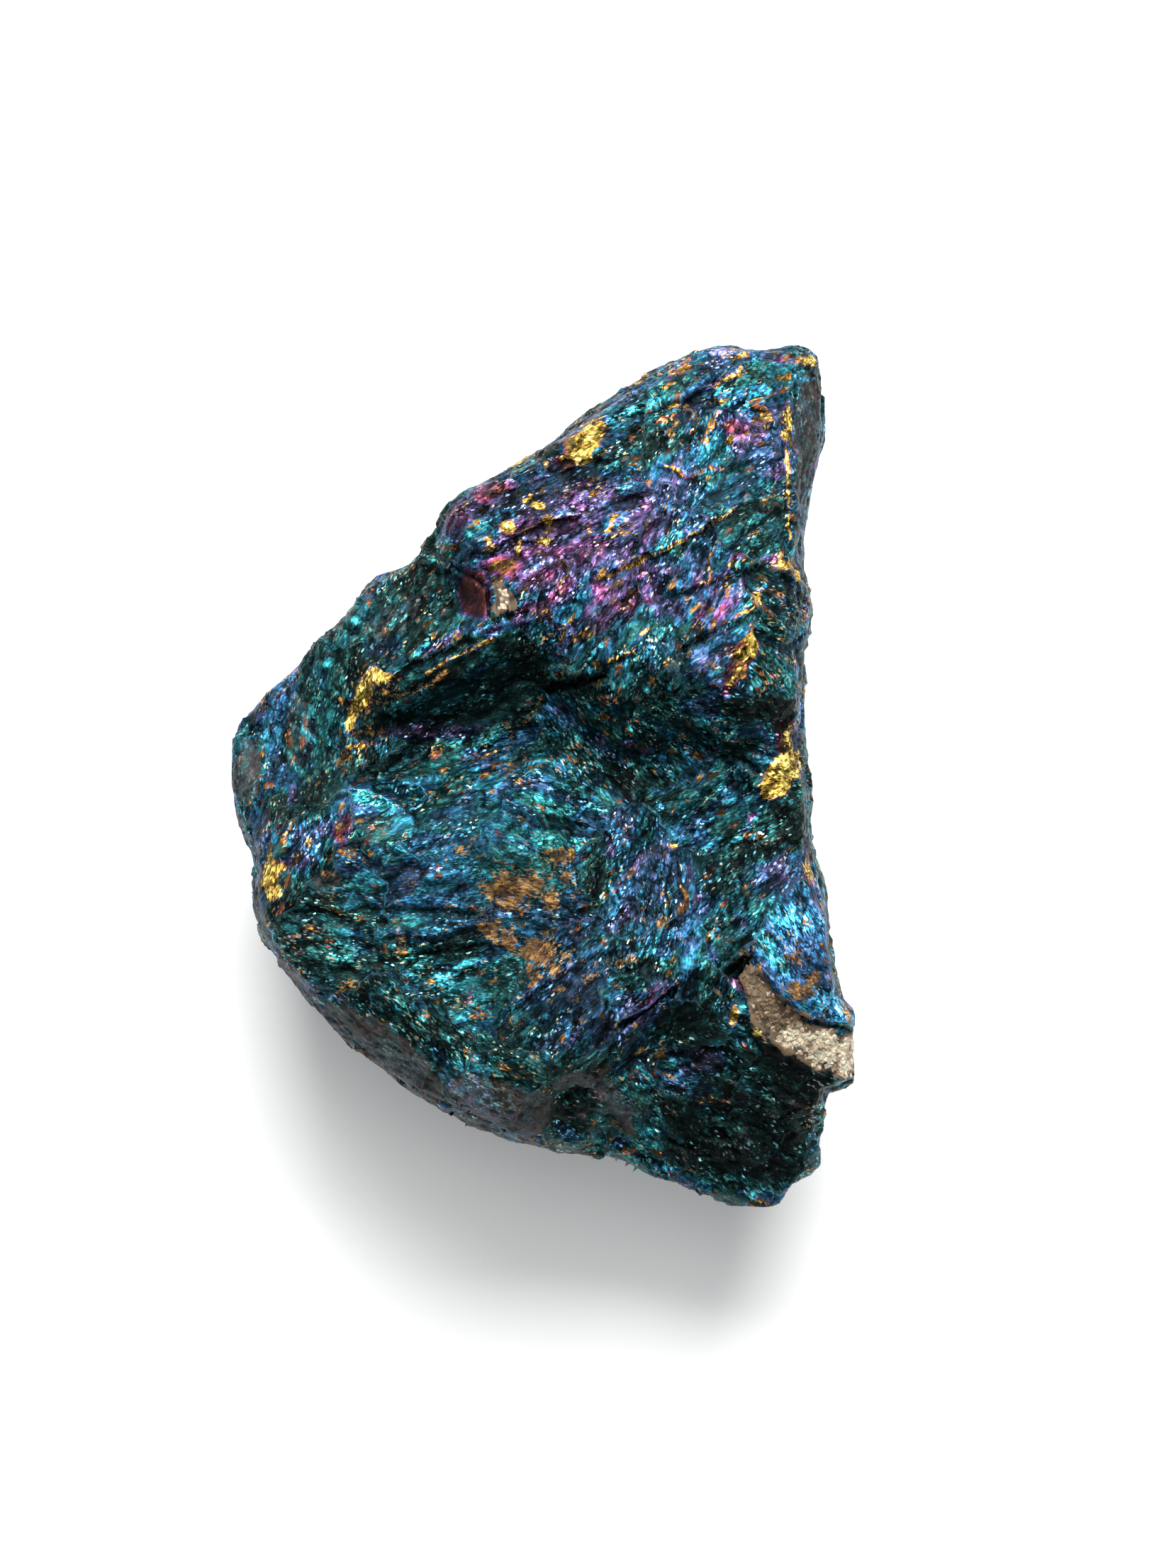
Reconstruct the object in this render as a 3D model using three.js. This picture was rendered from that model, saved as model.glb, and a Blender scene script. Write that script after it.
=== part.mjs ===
// Peacock ore: one broken chunk of iridescent copper sulphide, crossed by a thin vein of pale quartz.
// Millimetres, +Z up. The broad broken face looks up, the long way of the chunk runs along Y, and the
// origin lies under the middle of the chunk, on the surface that it rests on.
import * as THREE from "three";
import { ImprovedNoise } from "three/addons/math/ImprovedNoise.js";
import { mergeVertices } from "three/addons/utils/BufferGeometryUtils.js";

// Driving dimensions of the chunk.
const WIDTH = 30.5; // along X
const LENGTH = 42.4; // along Y
const THICKNESS = 20.8; // along Z

// How finely the chunk is faceted: 20 * (SPLITS + 1) ** 2 triangles.
const SPLITS = 19;
const SETTLING_PASSES = 30;

// The flanks lean in from the girth, the widest level, by these slopes (run over rise).
const GIRTH = 12; // height of the girth
const LEAN_ABOVE = 0.12;
const LEAN_BELOW = 0.3;
const LEAN_WANDER = 0.9; // how much the lean differs from place to place
const LEAN_WAVE = 6; // and over what distance

// Wander of every broken face, and the rough skin over all of them, in waves: [wavelength, height].
const WANDER = [
  [11, 0.75],
  [4.2, 0.38],
];
const ROUGHNESS = [
  [2.6, 0.3],
  [1.5, 0.14],
];

// The ore split along thin layers that crop out as low ledges. Each family of layers has its strike, in
// degrees from +X, the spacing and height of its ledges, the share of a layer that its gentle side takes,
// and the middle and reach of the region that it rules.
const LEDGES = [
  { strike: 27, spacing: 2.5, height: 0.55, gentle: 0.8, at: [3, 12], reach: 14 },
  { strike: 31, spacing: 3.1, height: 0.35, gentle: 0.8, at: [-7, -5], reach: 10 },
  { strike: -27, spacing: 2.3, height: 0.45, gentle: 0.8, at: [10, -15], reach: 9 },
];

// The chunk's outline seen from above, clockwise from the north tip.
const OUTLINE = [
  [8.7, 21.2], [9.8, 20.8], [13.9, 21], [13.8, 18.1], [13.8, 15.5], [12.9, 12.9], [12.8, 10.2],
  [13.3, 8.6], [12.8, 6.1], [13.0, 4.0], [12.8, 2.0], [13.2, -0.6], [13.2, -3.2], [13.9, -5.5],
  [14.1, -8.3], [14.4, -10.4], [15.25, -12.1], [15.0, -14.1], [14.1, -15.1], [13.2, -18.2],
  [12.8, -20.1], [10.8, -21.4], [8.3, -20.4], [3.4, -18.3], [-1.2, -17.6], [-3.4, -16.8],
  [-6.2, -15.4], [-8.4, -13.8], [-10.2, -12.4], [-12.2, -9.6], [-13.2, -8.7], [-13.9, -7.6],
  [-13.8, -4.5], [-15.0, -2.0], [-15.25, 0.2], [-14.1, 3.6], [-12.6, 5.2], [-10.2, 7.3],
  [-8.4, 9.6], [-6.5, 10.6], [-4.9, 12.1], [-4.2, 13.6], [-0.4, 15.8], [1.4, 17.3], [4.2, 19.1],
  [7.3, 20.6],
];

// A broken face through three points. Its outside is up.
function face(a, b, c) {
  const plane = new THREE.Plane().setFromCoplanarPoints(
    new THREE.Vector3(...a),
    new THREE.Vector3(...b),
    new THREE.Vector3(...c),
  );
  return plane.normal.z < 0 ? plane.negate() : plane;
}

// A steep face. Seen from above, it falls away to the right of a walk along its crest from a to b, at
// `steep` degrees below level.
function scarp(a, b, steep) {
  const along = new THREE.Vector3().subVectors(b, a);
  const level = Math.hypot(along.x, along.y);
  const slope = THREE.MathUtils.degToRad(steep);
  const down = new THREE.Vector3(
    (along.y / level) * Math.cos(slope),
    (-along.x / level) * Math.cos(slope),
    -Math.sin(slope),
  );
  return new THREE.Plane().setFromNormalAndCoplanarPoint(down.cross(along).normalize(), a);
}

// A mass of ore: a broad upper face through three points, cut off by a scarp along each side of its crest.
// The corners of the crest are walked counterclockwise, seen from above, and each is given with the
// steepness, in degrees, of the scarp from there to the next corner.
function mass(upper, crest) {
  const top = face(...upper);
  const corners = crest.map(([x, y]) => {
    const z = -(top.normal.x * x + top.normal.y * y + top.constant) / top.normal.z;
    return new THREE.Vector3(x, y, z);
  });
  const scarps = crest.map(([, , steep], i) => scarp(corners[i], corners[(i + 1) % corners.length], steep));
  return [top, ...scarps];
}

// An underside face through a point, square to a direction that points out of the ore.
function under(through, facing) {
  const normal = new THREE.Vector3(...facing).normalize();
  return new THREE.Plane().setFromNormalAndCoplanarPoint(normal, new THREE.Vector3(...through));
}

// The masses that the broad upper side broke into. It is as high everywhere as the highest of them.
const MASSES = {
  northSlab: mass(
    [[12, 19.5, 16.8], [-4, 11.5, 18.0], [6, 4.8, 20.4]],
    [
      [-1.4, 7.8, 60], [2.9, 4.8, 57], [7.6, 3.9, 35], [12.0, 9.8, 72], [12.1, 20.2, 60], [7, 21, 52],
      [-4.9, 12.0, 62],
    ],
  ),
  eastShoulder: mass(
    [[8, 10, 19.3], [13, 9, 18.5], [10, 4.8, 19.7]],
    [[6.8, 3.9, 54], [12.8, 3.7, 74], [12.8, 10.4, 40], [7.2, 10.4, 50]],
  ),
  rimShelf: mass(
    [[-8.3, 4.4, 17.2], [-0.6, 7.9, 18.9], [-9.5, 9.6, 14.3]],
    [[-8.6, 4.0, 50], [-0.6, 7.4, 45], [0.5, 14, 45], [-4.5, 13.4, 52], [-11.8, 6.8, 50]],
  ),
  westShelf: mass(
    [[-9.3, 1.2, 16.2], [-8.3, 4.6, 17.2], [-13.2, 2.6, 13.6]],
    [[-15.2, -2.4, 48], [-9.3, 0.6, 52], [-8.2, 4.8, 50], [-10, 8.5, 52], [-14.4, 4, 66]],
  ),
  belly: [
    ...mass(
      [[-6, -4, 18.5], [1, -9, 18.9], [-7, -11, 18.1]],
      [
        [-11.8, -9.3, 60], [-4, -13.7, 55], [0.9, -13.4, 40], [1.6, -9.5, 38], [-0.4, -2.6, 30],
        [-11.3, -3.2, 48],
      ],
    ),
    scarp(new THREE.Vector3(1, -0.2, 17.5), new THREE.Vector3(-11, -0.8, 16.8), 52),
  ],
  waist: mass(
    [[1, -9, 18.9], [8.5, -9, 17.4], [5, -3, 17.2]],
    [[-0.2, -12.9, 50], [5, -9.9, 40], [5.5, -3, 35], [3, -3, 40]],
  ),
  bench: mass(
    [[1, -9, 18.9], [8.5, -9, 17.4], [5, -3, 17.2]],
    [[3.4, -10.1, 52], [9.2, -9.3, 30], [9.2, -4, 30], [4, -3, 35]],
  ),
  eastBowl: mass(
    [[4, 3, 15.6], [12.8, 1, 17.2], [6, -7, 16.6]],
    [[2.6, -9.5, 45], [13.5, -9.5, 75], [13.5, 5, 45], [2.6, 5, 45]],
  ),
  brassNose: mass(
    [[10.8, 2.4, 16.6], [13, 2, 17.2], [11.8, -0.6, 18.1]],
    [[10.5, -1, 60], [13.6, -0.9, 75], [13.6, 2.8, 30], [10.5, 2.8, 50]],
  ),
  bluePlate: mass(
    [[9.5, -4, 16.9], [13.8, -6, 17.4], [12, -10.3, 17.6]],
    [[8.8, -9.1, 52], [15.8, -13.1, 75], [15.8, -4, 20], [9.3, -3.4, 25]],
  ),
  tail: [
    ...mass(
      [[3, -12.5, 16.2], [13, -13.6, 15.7], [8, -16.5, 14.2]],
      [[0.9, -14, 62], [5.5, -19.2, 62], [11, -23, 75], [17, -16, 75], [17, -11, 75], [1, -11, 30]],
    ),
    face([2.5, -14.8, 15.2], [14.5, -15.2, 14.8], [10.5, -20.8, 11.8]),
  ],
  floor: mass(
    [[-15, 0, 12], [13, 0, 13.8], [0, -16, 11.2]],
    [[-20, -25, 75], [20, -25, 75], [20, 25, 75], [-20, 25, 75]],
  ),
  lowerApron: mass(
    [[-10, -10, 15.6], [0, -14, 16.2], [-6, -16, 13]],
    [[-13.5, -9, 75], [-6, -17.5, 75], [2, -19, 60], [3, -13, 45], [-8, -8, 45]],
  ),
};
const MASS_FACES = Object.values(MASSES);

// The faces of the underside: the tall ones under the girth, then the low ones round the flat spot.
const UNDERSIDE = [
  under([-15, 0, 8.2], [-0.78, 0.05, -0.62]),
  under([-9, 8, 10.2], [-0.55, 0.58, -0.6]),
  under([8.5, 21, 11], [0.05, 0.7, -0.71]),
  under([13.8, 12, 6.5], [0.82, 0.35, -0.45]),
  under([15.2, -13, 8.8], [0.6, -0.44, -0.67]),
  under([9.5, -21.6, 6.6], [0.1, -0.76, -0.64]),
  under([-4, -16.4, 8.4], [-0.38, -0.66, -0.65]),
  under([-8.5, 0, 2.8], [-0.45, 0.08, -0.89]),
  under([3, 12, 3.6], [0.06, 0.42, -0.9]),
  under([11, -2, 3.2], [0.5, 0.05, -0.86]),
  under([4, -14, 3.4], [0.1, -0.42, -0.9]),
  under([-5, -9, 2.8], [-0.35, -0.36, -0.86]),
];

const noise = new ImprovedNoise();

// A wandering offset at a point: the sum of waves that are given as [wavelength, height].
function wander(x, y, z, octaves, seed) {
  let sum = 0;
  for (const [length, height] of octaves) {
    sum += height * noise.noise(x / length + seed, y / length - seed, z / length + 2 * seed);
  }
  return sum;
}

// The sides of the outline, each with its start, its run and the square of its length.
const OUTLINE_SIDES = OUTLINE.map(([ax, ay], i) => {
  const [bx, by] = OUTLINE[(i + 1) % OUTLINE.length];
  return { ax, ay, by, ex: bx - ax, ey: by - ay, squared: (bx - ax) ** 2 + (by - ay) ** 2 };
});

// Distance in plan from a point to the outline, negative inside.
function outlineDistance(x, y) {
  let nearest = Infinity;
  let inside = false;
  for (const { ax, ay, by, ex, ey, squared } of OUTLINE_SIDES) {
    const dx = x - ax;
    const dy = y - ay;
    const t = Math.min(1, Math.max(0, (dx * ex + dy * ey) / squared));
    nearest = Math.min(nearest, (dx - t * ex) ** 2 + (dy - t * ey) ** 2);
    if (ay > y !== by > y && dx < (dy / ey) * ex) inside = !inside;
  }
  return inside ? -Math.sqrt(nearest) : Math.sqrt(nearest);
}

// Height of the ledges at a place seen from above. Each layer rises gently across most of its width and
// ends in a short drop.
function ledges(x, y) {
  let sum = 0;
  LEDGES.forEach(({ strike, spacing, height, gentle, at, reach }, i) => {
    const angle = THREE.MathUtils.degToRad(strike);
    const along = x * Math.cos(angle) + y * Math.sin(angle);
    const across = y * Math.cos(angle) - x * Math.sin(angle);
    const phase = across / spacing + 0.55 * noise.noise(along / 7, across / 3.5, 5 + 3 * i);
    const part = phase - Math.floor(phase);
    const profile = part < 1 - gentle ? part / (1 - gentle) : (1 - part) / gentle;
    const fade = Math.exp(-((x - at[0]) ** 2 + (y - at[1]) ** 2) / reach ** 2);
    sum += height * fade * (profile - 0.5);
  });
  return sum;
}

// The furthest that a point lies outside any of a set of faces.
function beyond(faces, point) {
  let most = -Infinity;
  for (const plane of faces) most = Math.max(most, plane.distanceToPoint(point));
  return most;
}

// How far a point is outside the chunk, negative inside.
const shifted = new THREE.Vector3();
function outside(x, y, z) {
  shifted.set(
    x + wander(x, y, z, WANDER, 3.1),
    y + wander(x, y, z, WANDER, 7.7),
    z + wander(x, y, z, WANDER, 12.3) - ledges(x, y),
  );
  let top = Infinity;
  for (const faces of MASS_FACES) top = Math.min(top, beyond(faces, shifted));
  const lean = z > GIRTH ? LEAN_ABOVE * (z - GIRTH) : LEAN_BELOW * (GIRTH - z);
  const uneven = 1 + LEAN_WANDER * noise.noise(x / LEAN_WAVE, y / LEAN_WAVE, z / LEAN_WAVE);
  const flank = outlineDistance(x, y) + lean * uneven;
  const rough = wander(x, y, z, ROUGHNESS, 1.9);
  return Math.max(Math.max(top, flank, beyond(UNDERSIDE, shifted)) + rough, -z);
}

// The corners that each corner of a closed geometry shares a side with.
function neighboursOf(geometry) {
  const index = geometry.getIndex();
  const neighbours = Array.from({ length: geometry.getAttribute("position").count }, () => new Set());
  for (let i = 0; i < index.count; i += 3) {
    const corners = [index.getX(i), index.getX(i + 1), index.getX(i + 2)];
    corners.forEach((corner, k) => neighbours[corner].add(corners[(k + 1) % 3]).add(corners[(k + 2) % 3]));
  }
  return neighbours;
}

// Draws every corner of a ball round the heart of the chunk in, along its ray, on to the chunk.
function drawIn(position) {
  const heart = new THREE.Vector3(0.5, -1, 9);
  const reach = new THREE.Vector3(WIDTH, LENGTH, THICKNESS);
  const ray = new THREE.Vector3();
  const here = new THREE.Vector3();
  for (let i = 0; i < position.count; i++) {
    ray.fromBufferAttribute(position, i).multiply(reach);
    let near = 0;
    let far = 1;
    for (let halving = 0; halving < 14; halving++) {
      const middle = (near + far) / 2;
      here.copy(heart).addScaledVector(ray, middle);
      if (outside(here.x, here.y, here.z) > 0) far = middle;
      else near = middle;
    }
    here.copy(heart).addScaledVector(ray, near);
    position.setXYZ(i, here.x, here.y, here.z);
  }
}

// Moves a point along the slope of the field, on to the chunk.
const slope = new THREE.Vector3();
function land(point) {
  const step = 0.05;
  const distance = outside(point.x, point.y, point.z);
  slope.set(
    outside(point.x + step, point.y, point.z) - distance,
    outside(point.x, point.y + step, point.z) - distance,
    outside(point.x, point.y, point.z + step) - distance,
  );
  slope.divideScalar(step);
  point.addScaledVector(slope, -distance / Math.max(0.5, slope.lengthSq()));
}

// Slides each corner towards the middle of its neighbours and lands it again, so that steep scarps get
// their share of the triangles.
function settle(position, neighbours) {
  const here = new THREE.Vector3();
  const middle = new THREE.Vector3();
  for (let pass = 0; pass < SETTLING_PASSES; pass++) {
    for (let i = 0; i < position.count; i++) {
      middle.set(0, 0, 0);
      for (const neighbour of neighbours[i]) middle.add(here.fromBufferAttribute(position, neighbour));
      middle.divideScalar(neighbours[i].size);
      here.fromBufferAttribute(position, i).lerp(middle, 0.5);
      land(here);
      position.setXYZ(i, here.x, here.y, here.z);
    }
  }
}

// Brings the chunk to its driving dimensions, centred over the origin, and levels its flat spot at z = 0.
function bringToSize(geometry) {
  const position = geometry.getAttribute("position");
  geometry.computeBoundingBox();
  const size = geometry.boundingBox.getSize(new THREE.Vector3());
  const middle = geometry.boundingBox.getCenter(new THREE.Vector3());
  const level = 0.12; // what lies lower than this belongs to the flat spot
  for (let i = 0; i < position.count; i++) {
    const x = ((position.getX(i) - middle.x) * WIDTH) / size.x;
    const y = ((position.getY(i) - middle.y) * LENGTH) / size.y;
    const z = ((position.getZ(i) - geometry.boundingBox.min.z) * THICKNESS) / size.z;
    position.setXYZ(i, x, y, z < level ? 0 : z);
  }
}

// The chunk as one closed, evenly faceted body.
function chunkGeometry() {
  const ball = new THREE.IcosahedronGeometry(1, SPLITS);
  ball.deleteAttribute("normal");
  ball.deleteAttribute("uv");
  const geometry = mergeVertices(ball, 1e-5);
  const position = geometry.getAttribute("position");
  drawIn(position);
  settle(position, neighboursOf(geometry));
  bringToSize(geometry);
  geometry.computeVertexNormals();
  return geometry;
}

const ore = new THREE.Mesh(
  chunkGeometry(),
  new THREE.MeshStandardMaterial({ color: 0x1f5f6b, metalness: 0.85, roughness: 0.38, flatShading: true }),
);
ore.name = "peacock_ore";

const chunk = new THREE.Group();
chunk.add(ore);
export default chunk;
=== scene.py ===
"""Looks of one broken chunk of peacock ore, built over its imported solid.

The chunk is a single natural stone. Its skin is refined from the solid, given the finer relief of a
split, scaly sulphide, and tarnished from brass gold through magenta, purple and blue to teal. Grains of
pale quartz are grown into its vein and one corner. Coordinates in this script are millimetres in the
object's own frame; meshes are handed over in metres.
"""
from __future__ import annotations

import logging
import math
from dataclasses import dataclass, field
from enum import Enum

import bmesh
import bpy
import numpy as np
from mathutils import Matrix, Vector

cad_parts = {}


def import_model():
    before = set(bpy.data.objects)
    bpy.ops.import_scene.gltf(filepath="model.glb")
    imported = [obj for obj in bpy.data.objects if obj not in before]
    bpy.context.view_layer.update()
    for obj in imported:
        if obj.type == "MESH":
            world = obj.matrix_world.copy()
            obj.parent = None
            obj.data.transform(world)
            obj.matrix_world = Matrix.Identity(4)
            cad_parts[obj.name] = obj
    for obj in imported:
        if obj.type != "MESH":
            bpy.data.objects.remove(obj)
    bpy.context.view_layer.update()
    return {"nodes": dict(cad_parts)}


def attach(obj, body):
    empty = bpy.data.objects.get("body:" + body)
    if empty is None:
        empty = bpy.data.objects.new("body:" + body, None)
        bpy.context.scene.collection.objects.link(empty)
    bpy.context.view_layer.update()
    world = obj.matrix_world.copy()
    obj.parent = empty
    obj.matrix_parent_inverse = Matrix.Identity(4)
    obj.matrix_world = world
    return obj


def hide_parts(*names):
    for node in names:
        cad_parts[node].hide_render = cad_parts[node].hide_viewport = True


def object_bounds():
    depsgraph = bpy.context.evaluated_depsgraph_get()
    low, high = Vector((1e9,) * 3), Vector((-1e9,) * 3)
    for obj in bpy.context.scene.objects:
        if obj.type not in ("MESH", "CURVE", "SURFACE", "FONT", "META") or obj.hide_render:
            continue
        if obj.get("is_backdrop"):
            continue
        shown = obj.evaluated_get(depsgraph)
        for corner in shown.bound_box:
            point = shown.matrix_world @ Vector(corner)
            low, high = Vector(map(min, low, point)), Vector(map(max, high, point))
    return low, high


LOG = logging.getLogger("peacock_ore")
MM = 0.001
MERGE_WITHIN_M = 1e-7
MIDDLE = (0.5, 0.5, 0.5)

Triple = tuple[float, float, float]
Colour = Triple
Points = tuple[tuple[float, float], ...]


# --------------------------------------------------------------------------- node maths
class Signal:
    """An output socket that takes part in expressions.

    Args:
        graph: The graph that the socket's node belongs to.
        socket: The output socket.
    """

    def __init__(self, graph: Graph, socket: bpy.types.NodeSocket) -> None:
        """Keeps the graph and the socket."""
        self.graph = graph
        self.socket = socket

    def of(self, name: str) -> Signal:
        """Returns another output of the same node."""
        return Signal(self.graph, next(s for s in self.socket.node.outputs if s.name == name and s.enabled))

    def _maths(self, operation: str, *operands: object) -> Signal:
        """Adds a Math node, or a Vector Math node where an operand is a vector or a colour.

        Args:
            operation: What the node does.
            operands: Signals or plain values, in the order of its inputs.

        Returns:
            Its output.
        """
        wide = any(
            value.socket.type in {"VECTOR", "RGBA"} if isinstance(value, Signal) else isinstance(value, tuple)
            for value in operands
        )
        kind = "ShaderNodeVectorMath" if wide else "ShaderNodeMath"
        return self.graph.add(kind, {"operation": operation}, dict(enumerate(operands)))

    def __add__(self, other: object) -> Signal:
        """Sum."""
        return self._maths("ADD", self, other)

    __radd__ = __add__

    def __sub__(self, other: object) -> Signal:
        """Difference."""
        return self._maths("SUBTRACT", self, other)

    def __rsub__(self, other: object) -> Signal:
        """Difference, taken from a plain value."""
        return self._maths("SUBTRACT", other, self)

    def __mul__(self, other: object) -> Signal:
        """Product."""
        return self._maths("MULTIPLY", self, other)

    __rmul__ = __mul__

    def __truediv__(self, other: object) -> Signal:
        """Quotient."""
        return self._maths("DIVIDE", self, other)

    def __pow__(self, other: object) -> Signal:
        """Power."""
        return self._maths("POWER", self, other)

    def fraction(self) -> Signal:
        """Returns what is left after the whole number."""
        return self._maths("FRACT", self)

    def least(self, other: object) -> Signal:
        """Returns the lower of two values."""
        return self._maths("MINIMUM", self, other)

    def most(self, other: object) -> Signal:
        """Returns the higher of two values."""
        return self._maths("MAXIMUM", self, other)

    def unit(self) -> Signal:
        """Returns the vector at length one."""
        return self._maths("NORMALIZE", self)

    def dot(self, other: object) -> Signal:
        """Returns the dot product with another vector."""
        return self._maths("DOT_PRODUCT", self, other).of("Value")

    def swing(self, amount: object) -> Signal:
        """Returns how far the value lies over or under one half, times an amount."""
        return (self - 0.5) * amount

    def part(self, axis: str) -> Signal:
        """Returns one component, X, Y or Z, of the vector or colour."""
        return self.graph.add("ShaderNodeSeparateXYZ", {}, {0: self}).of(axis)

    def step(self, low: float, high: float, out_low: float = 0.0, out_high: float = 1.0) -> Signal:
        """Changes smoothly between two results as the value goes from low to high.

        Args:
            low, high: The values that the change starts and ends at.
            out_low, out_high: The results there and beyond.

        Returns:
            The result.
        """
        return self.graph.add(
            "ShaderNodeMapRange",
            {"interpolation_type": "SMOOTHSTEP", "clamp": True},
            {"Value": self, "From Min": low, "From Max": high, "To Min": out_low, "To Max": out_high},
        )


class Graph:
    """A node tree that is being built.

    Args:
        tree: The shader or geometry tree that the nodes go into.
    """

    def __init__(self, tree: bpy.types.NodeTree) -> None:
        """Keeps the tree."""
        self.tree = tree

    def add(
        self,
        kind: str,
        settings: dict[str, object] | None = None,
        sockets: dict[int | str, object] | None = None,
    ) -> Signal:
        """Adds one node.

        Args:
            kind: The node's type.
            settings: Its properties, and a ramp's stops as pairs of a position and a colour.
            sockets: Values or signals for its inputs, by index, identifier or name.

        Returns:
            The node's first output in use, if it has one.
        """
        node = self.tree.nodes.new(kind)
        for name, value in (settings or {}).items():
            if name == "stops":
                self._ramp(node.color_ramp, value)
            else:
                setattr(node, name, value)
        for key, value in (sockets or {}).items():
            socket = self._input(node, key)
            if isinstance(value, Signal):
                self.tree.links.new(value.socket, socket)
            else:
                socket.default_value = self._fitted(socket, value)
        return Signal(self, next((s for s in node.outputs if s.enabled), None))

    @staticmethod
    def _ramp(ramp: bpy.types.ColorRamp, stops: tuple[tuple[float, Colour], ...]) -> None:
        """Fills a colour ramp.

        Args:
            ramp: The ramp.
            stops: Its positions and colours, from the lowest.
        """
        while len(ramp.elements) > 1:
            ramp.elements.remove(ramp.elements[-1])
        ramp.elements[0].position = stops[0][0]
        ramp.elements[0].color = (*stops[0][1], 1.0)
        for position, colour in stops[1:]:
            ramp.elements.new(position).color = (*colour, 1.0)

    @staticmethod
    def _input(node: bpy.types.Node, key: int | str) -> bpy.types.NodeSocket:
        """Finds an input of a node.

        Args:
            node: The node.
            key: The input's index, identifier or name.

        Returns:
            The input.
        """
        if isinstance(key, int):
            return node.inputs[key]
        exact = [s for s in node.inputs if s.identifier == key]
        return exact[0] if exact else next(s for s in node.inputs if s.name == key and s.enabled)

    @staticmethod
    def _fitted(socket: bpy.types.NodeSocket, value: object) -> object:
        """Widens a plain value to what a socket holds.

        Args:
            socket: The socket.
            value: A number, a vector, a colour or something else, which stays as it is.

        Returns:
            The value for the socket.
        """
        if socket.type == "VECTOR" and isinstance(value, (int, float)):
            return (value, value, value)
        if socket.type == "RGBA" and isinstance(value, tuple) and len(value) == 3:
            return (*value, 1.0)
        return value

    def blend(self, share: object, first: object, second: object) -> Signal:
        """Mixes two colours.

        Args:
            share: How much of the second there is.
            first, second: The colours.

        Returns:
            The mixed colour.
        """
        inputs = {"Factor_Float": share, "A_Color": first, "B_Color": second}
        return self.add("ShaderNodeMix", {"data_type": "RGBA"}, inputs).of("Result")

    def noise(self, place: Signal, scale: float, detail: float = 2.0, rough: float = 0.5) -> Signal:
        """Adds cloudy noise.

        Args:
            place: Where it is read.
            scale: Waves per unit of the place.
            detail: How many finer layers it has.
            rough: How strong those are.

        Returns:
            The noise, between 0 and 1.
        """
        return self.add(
            "ShaderNodeTexNoise",
            {"noise_dimensions": "3D"},
            {"Vector": place, "Scale": scale, "Detail": detail, "Roughness": rough},
        )

    def cells(self, place: Signal, feature: str = "F1") -> Signal:
        """Splits space into cells round scattered points, about one per unit of the place.

        Args:
            place: Where the cells are read.
            feature: Whether the distance is to the cell's point, F1, or to its border, DISTANCE_TO_EDGE.

        Returns:
            The distance. With F1 the node's Color is random to the cell and its Position is the point.
        """
        return self.add(
            "ShaderNodeTexVoronoi",
            {"voronoi_dimensions": "3D", "feature": feature},
            {"Vector": place, "Scale": 1.0, "Randomness": 1.0},
        )

    def stored(self, name: str, kind: str = "FLOAT") -> Signal:
        """Returns an attribute of the mesh that a geometry tree works on."""
        return self.add("GeometryNodeInputNamedAttribute", {"data_type": kind}, {"Name": name})

    def end_geometry(self, geometry: Signal, material: Signal) -> None:
        """Ends a geometry tree: makes instances real, dresses them and passes them out.

        Args:
            geometry: What is passed out.
            material: What it is dressed in.
        """
        whole = self.add("GeometryNodeRealizeInstances", {}, {"Geometry": geometry})
        dressed = self.add("GeometryNodeSetMaterial", {}, {"Geometry": whole, "Material": material})
        self.add("NodeGroupOutput", {}, {"Geometry": dressed})

    def end_material(self, inputs: dict[str, object]) -> None:
        """Ends a shader tree in a Principled shader with the given inputs."""
        shader = self.add("ShaderNodeBsdfPrincipled", {}, inputs)
        self.add("ShaderNodeOutputMaterial", {}, {"Surface": shader})


def start_material(name: str) -> tuple[bpy.types.Material, Graph]:
    """Starts an empty material.

    Args:
        name: Its name.

    Returns:
        The material and the graph of its node tree.
    """
    material = bpy.data.materials.new(name)
    material.use_nodes = True
    material.node_tree.nodes.clear()
    return material, Graph(material.node_tree)


def put(name: str, data: bpy.types.ID) -> bpy.types.Object:
    """Puts a mesh, a lamp or a camera in the scene.

    Args:
        name: The name of its object.
        data: What the object shows.

    Returns:
        The object.
    """
    thing = bpy.data.objects.new(name, data)
    bpy.context.scene.collection.objects.link(thing)
    return thing


# --------------------------------------------------------------------------- what lies where
class Tarnish(Enum):
    """The finishes that the ore shows.

    The value of a film of tarnish is its thickness, from 0 to 1. Brass, rust, quartz, coat and smooth places
    lie over the film, and their values only tell them apart. The coat also stands for painted shade on the
    flanks turned away from the lamps, and the darkest film is also laid as painted shade over hollows, cracks
    and shaded steps.
    """

    BRASS = 0.02
    RUST = 0.11
    EMBER = 0.165
    ROSE = 0.28
    PURPLE = 0.38
    VIOLET = 0.475
    BLUE = 0.56
    AZURE = 0.64
    CYAN = 0.71
    TEAL = 0.78
    GREEN = 0.87
    # The darkest film, also laid as painted shade over hollows, cracks and shaded steps.
    BLACK = 0.97
    # Dull coat, also painted shade on flanks turned away from the lamps.
    COAT = -1.0
    QUARTZ = -2.0
    SMOOTH = -3.0


T = Tarnish
FLECK_KINDS = (T.BRASS, T.RUST, T.QUARTZ)
DULL_KINDS = (T.COAT, T.SMOOTH)


@dataclass(frozen=True)
class Patch:
    """An oval patch of one finish on the upper side.

    Attributes:
        tarnish: The finish.
        x, y: Its middle.
        length, width: Its full size along and across.
        turn: Degrees from +X to its long way.
        weight: How far the finish takes over.
        gain: How much lighter or darker the ore is drawn there: its own tone, with painted shade in hollows,
            cracks and under steps and painted highlights where it catches the light.
    """

    tarnish: Tarnish
    x: float
    y: float
    length: float
    width: float
    turn: float = 27.0
    weight: float = 0.9
    gain: float = 1.0


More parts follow.
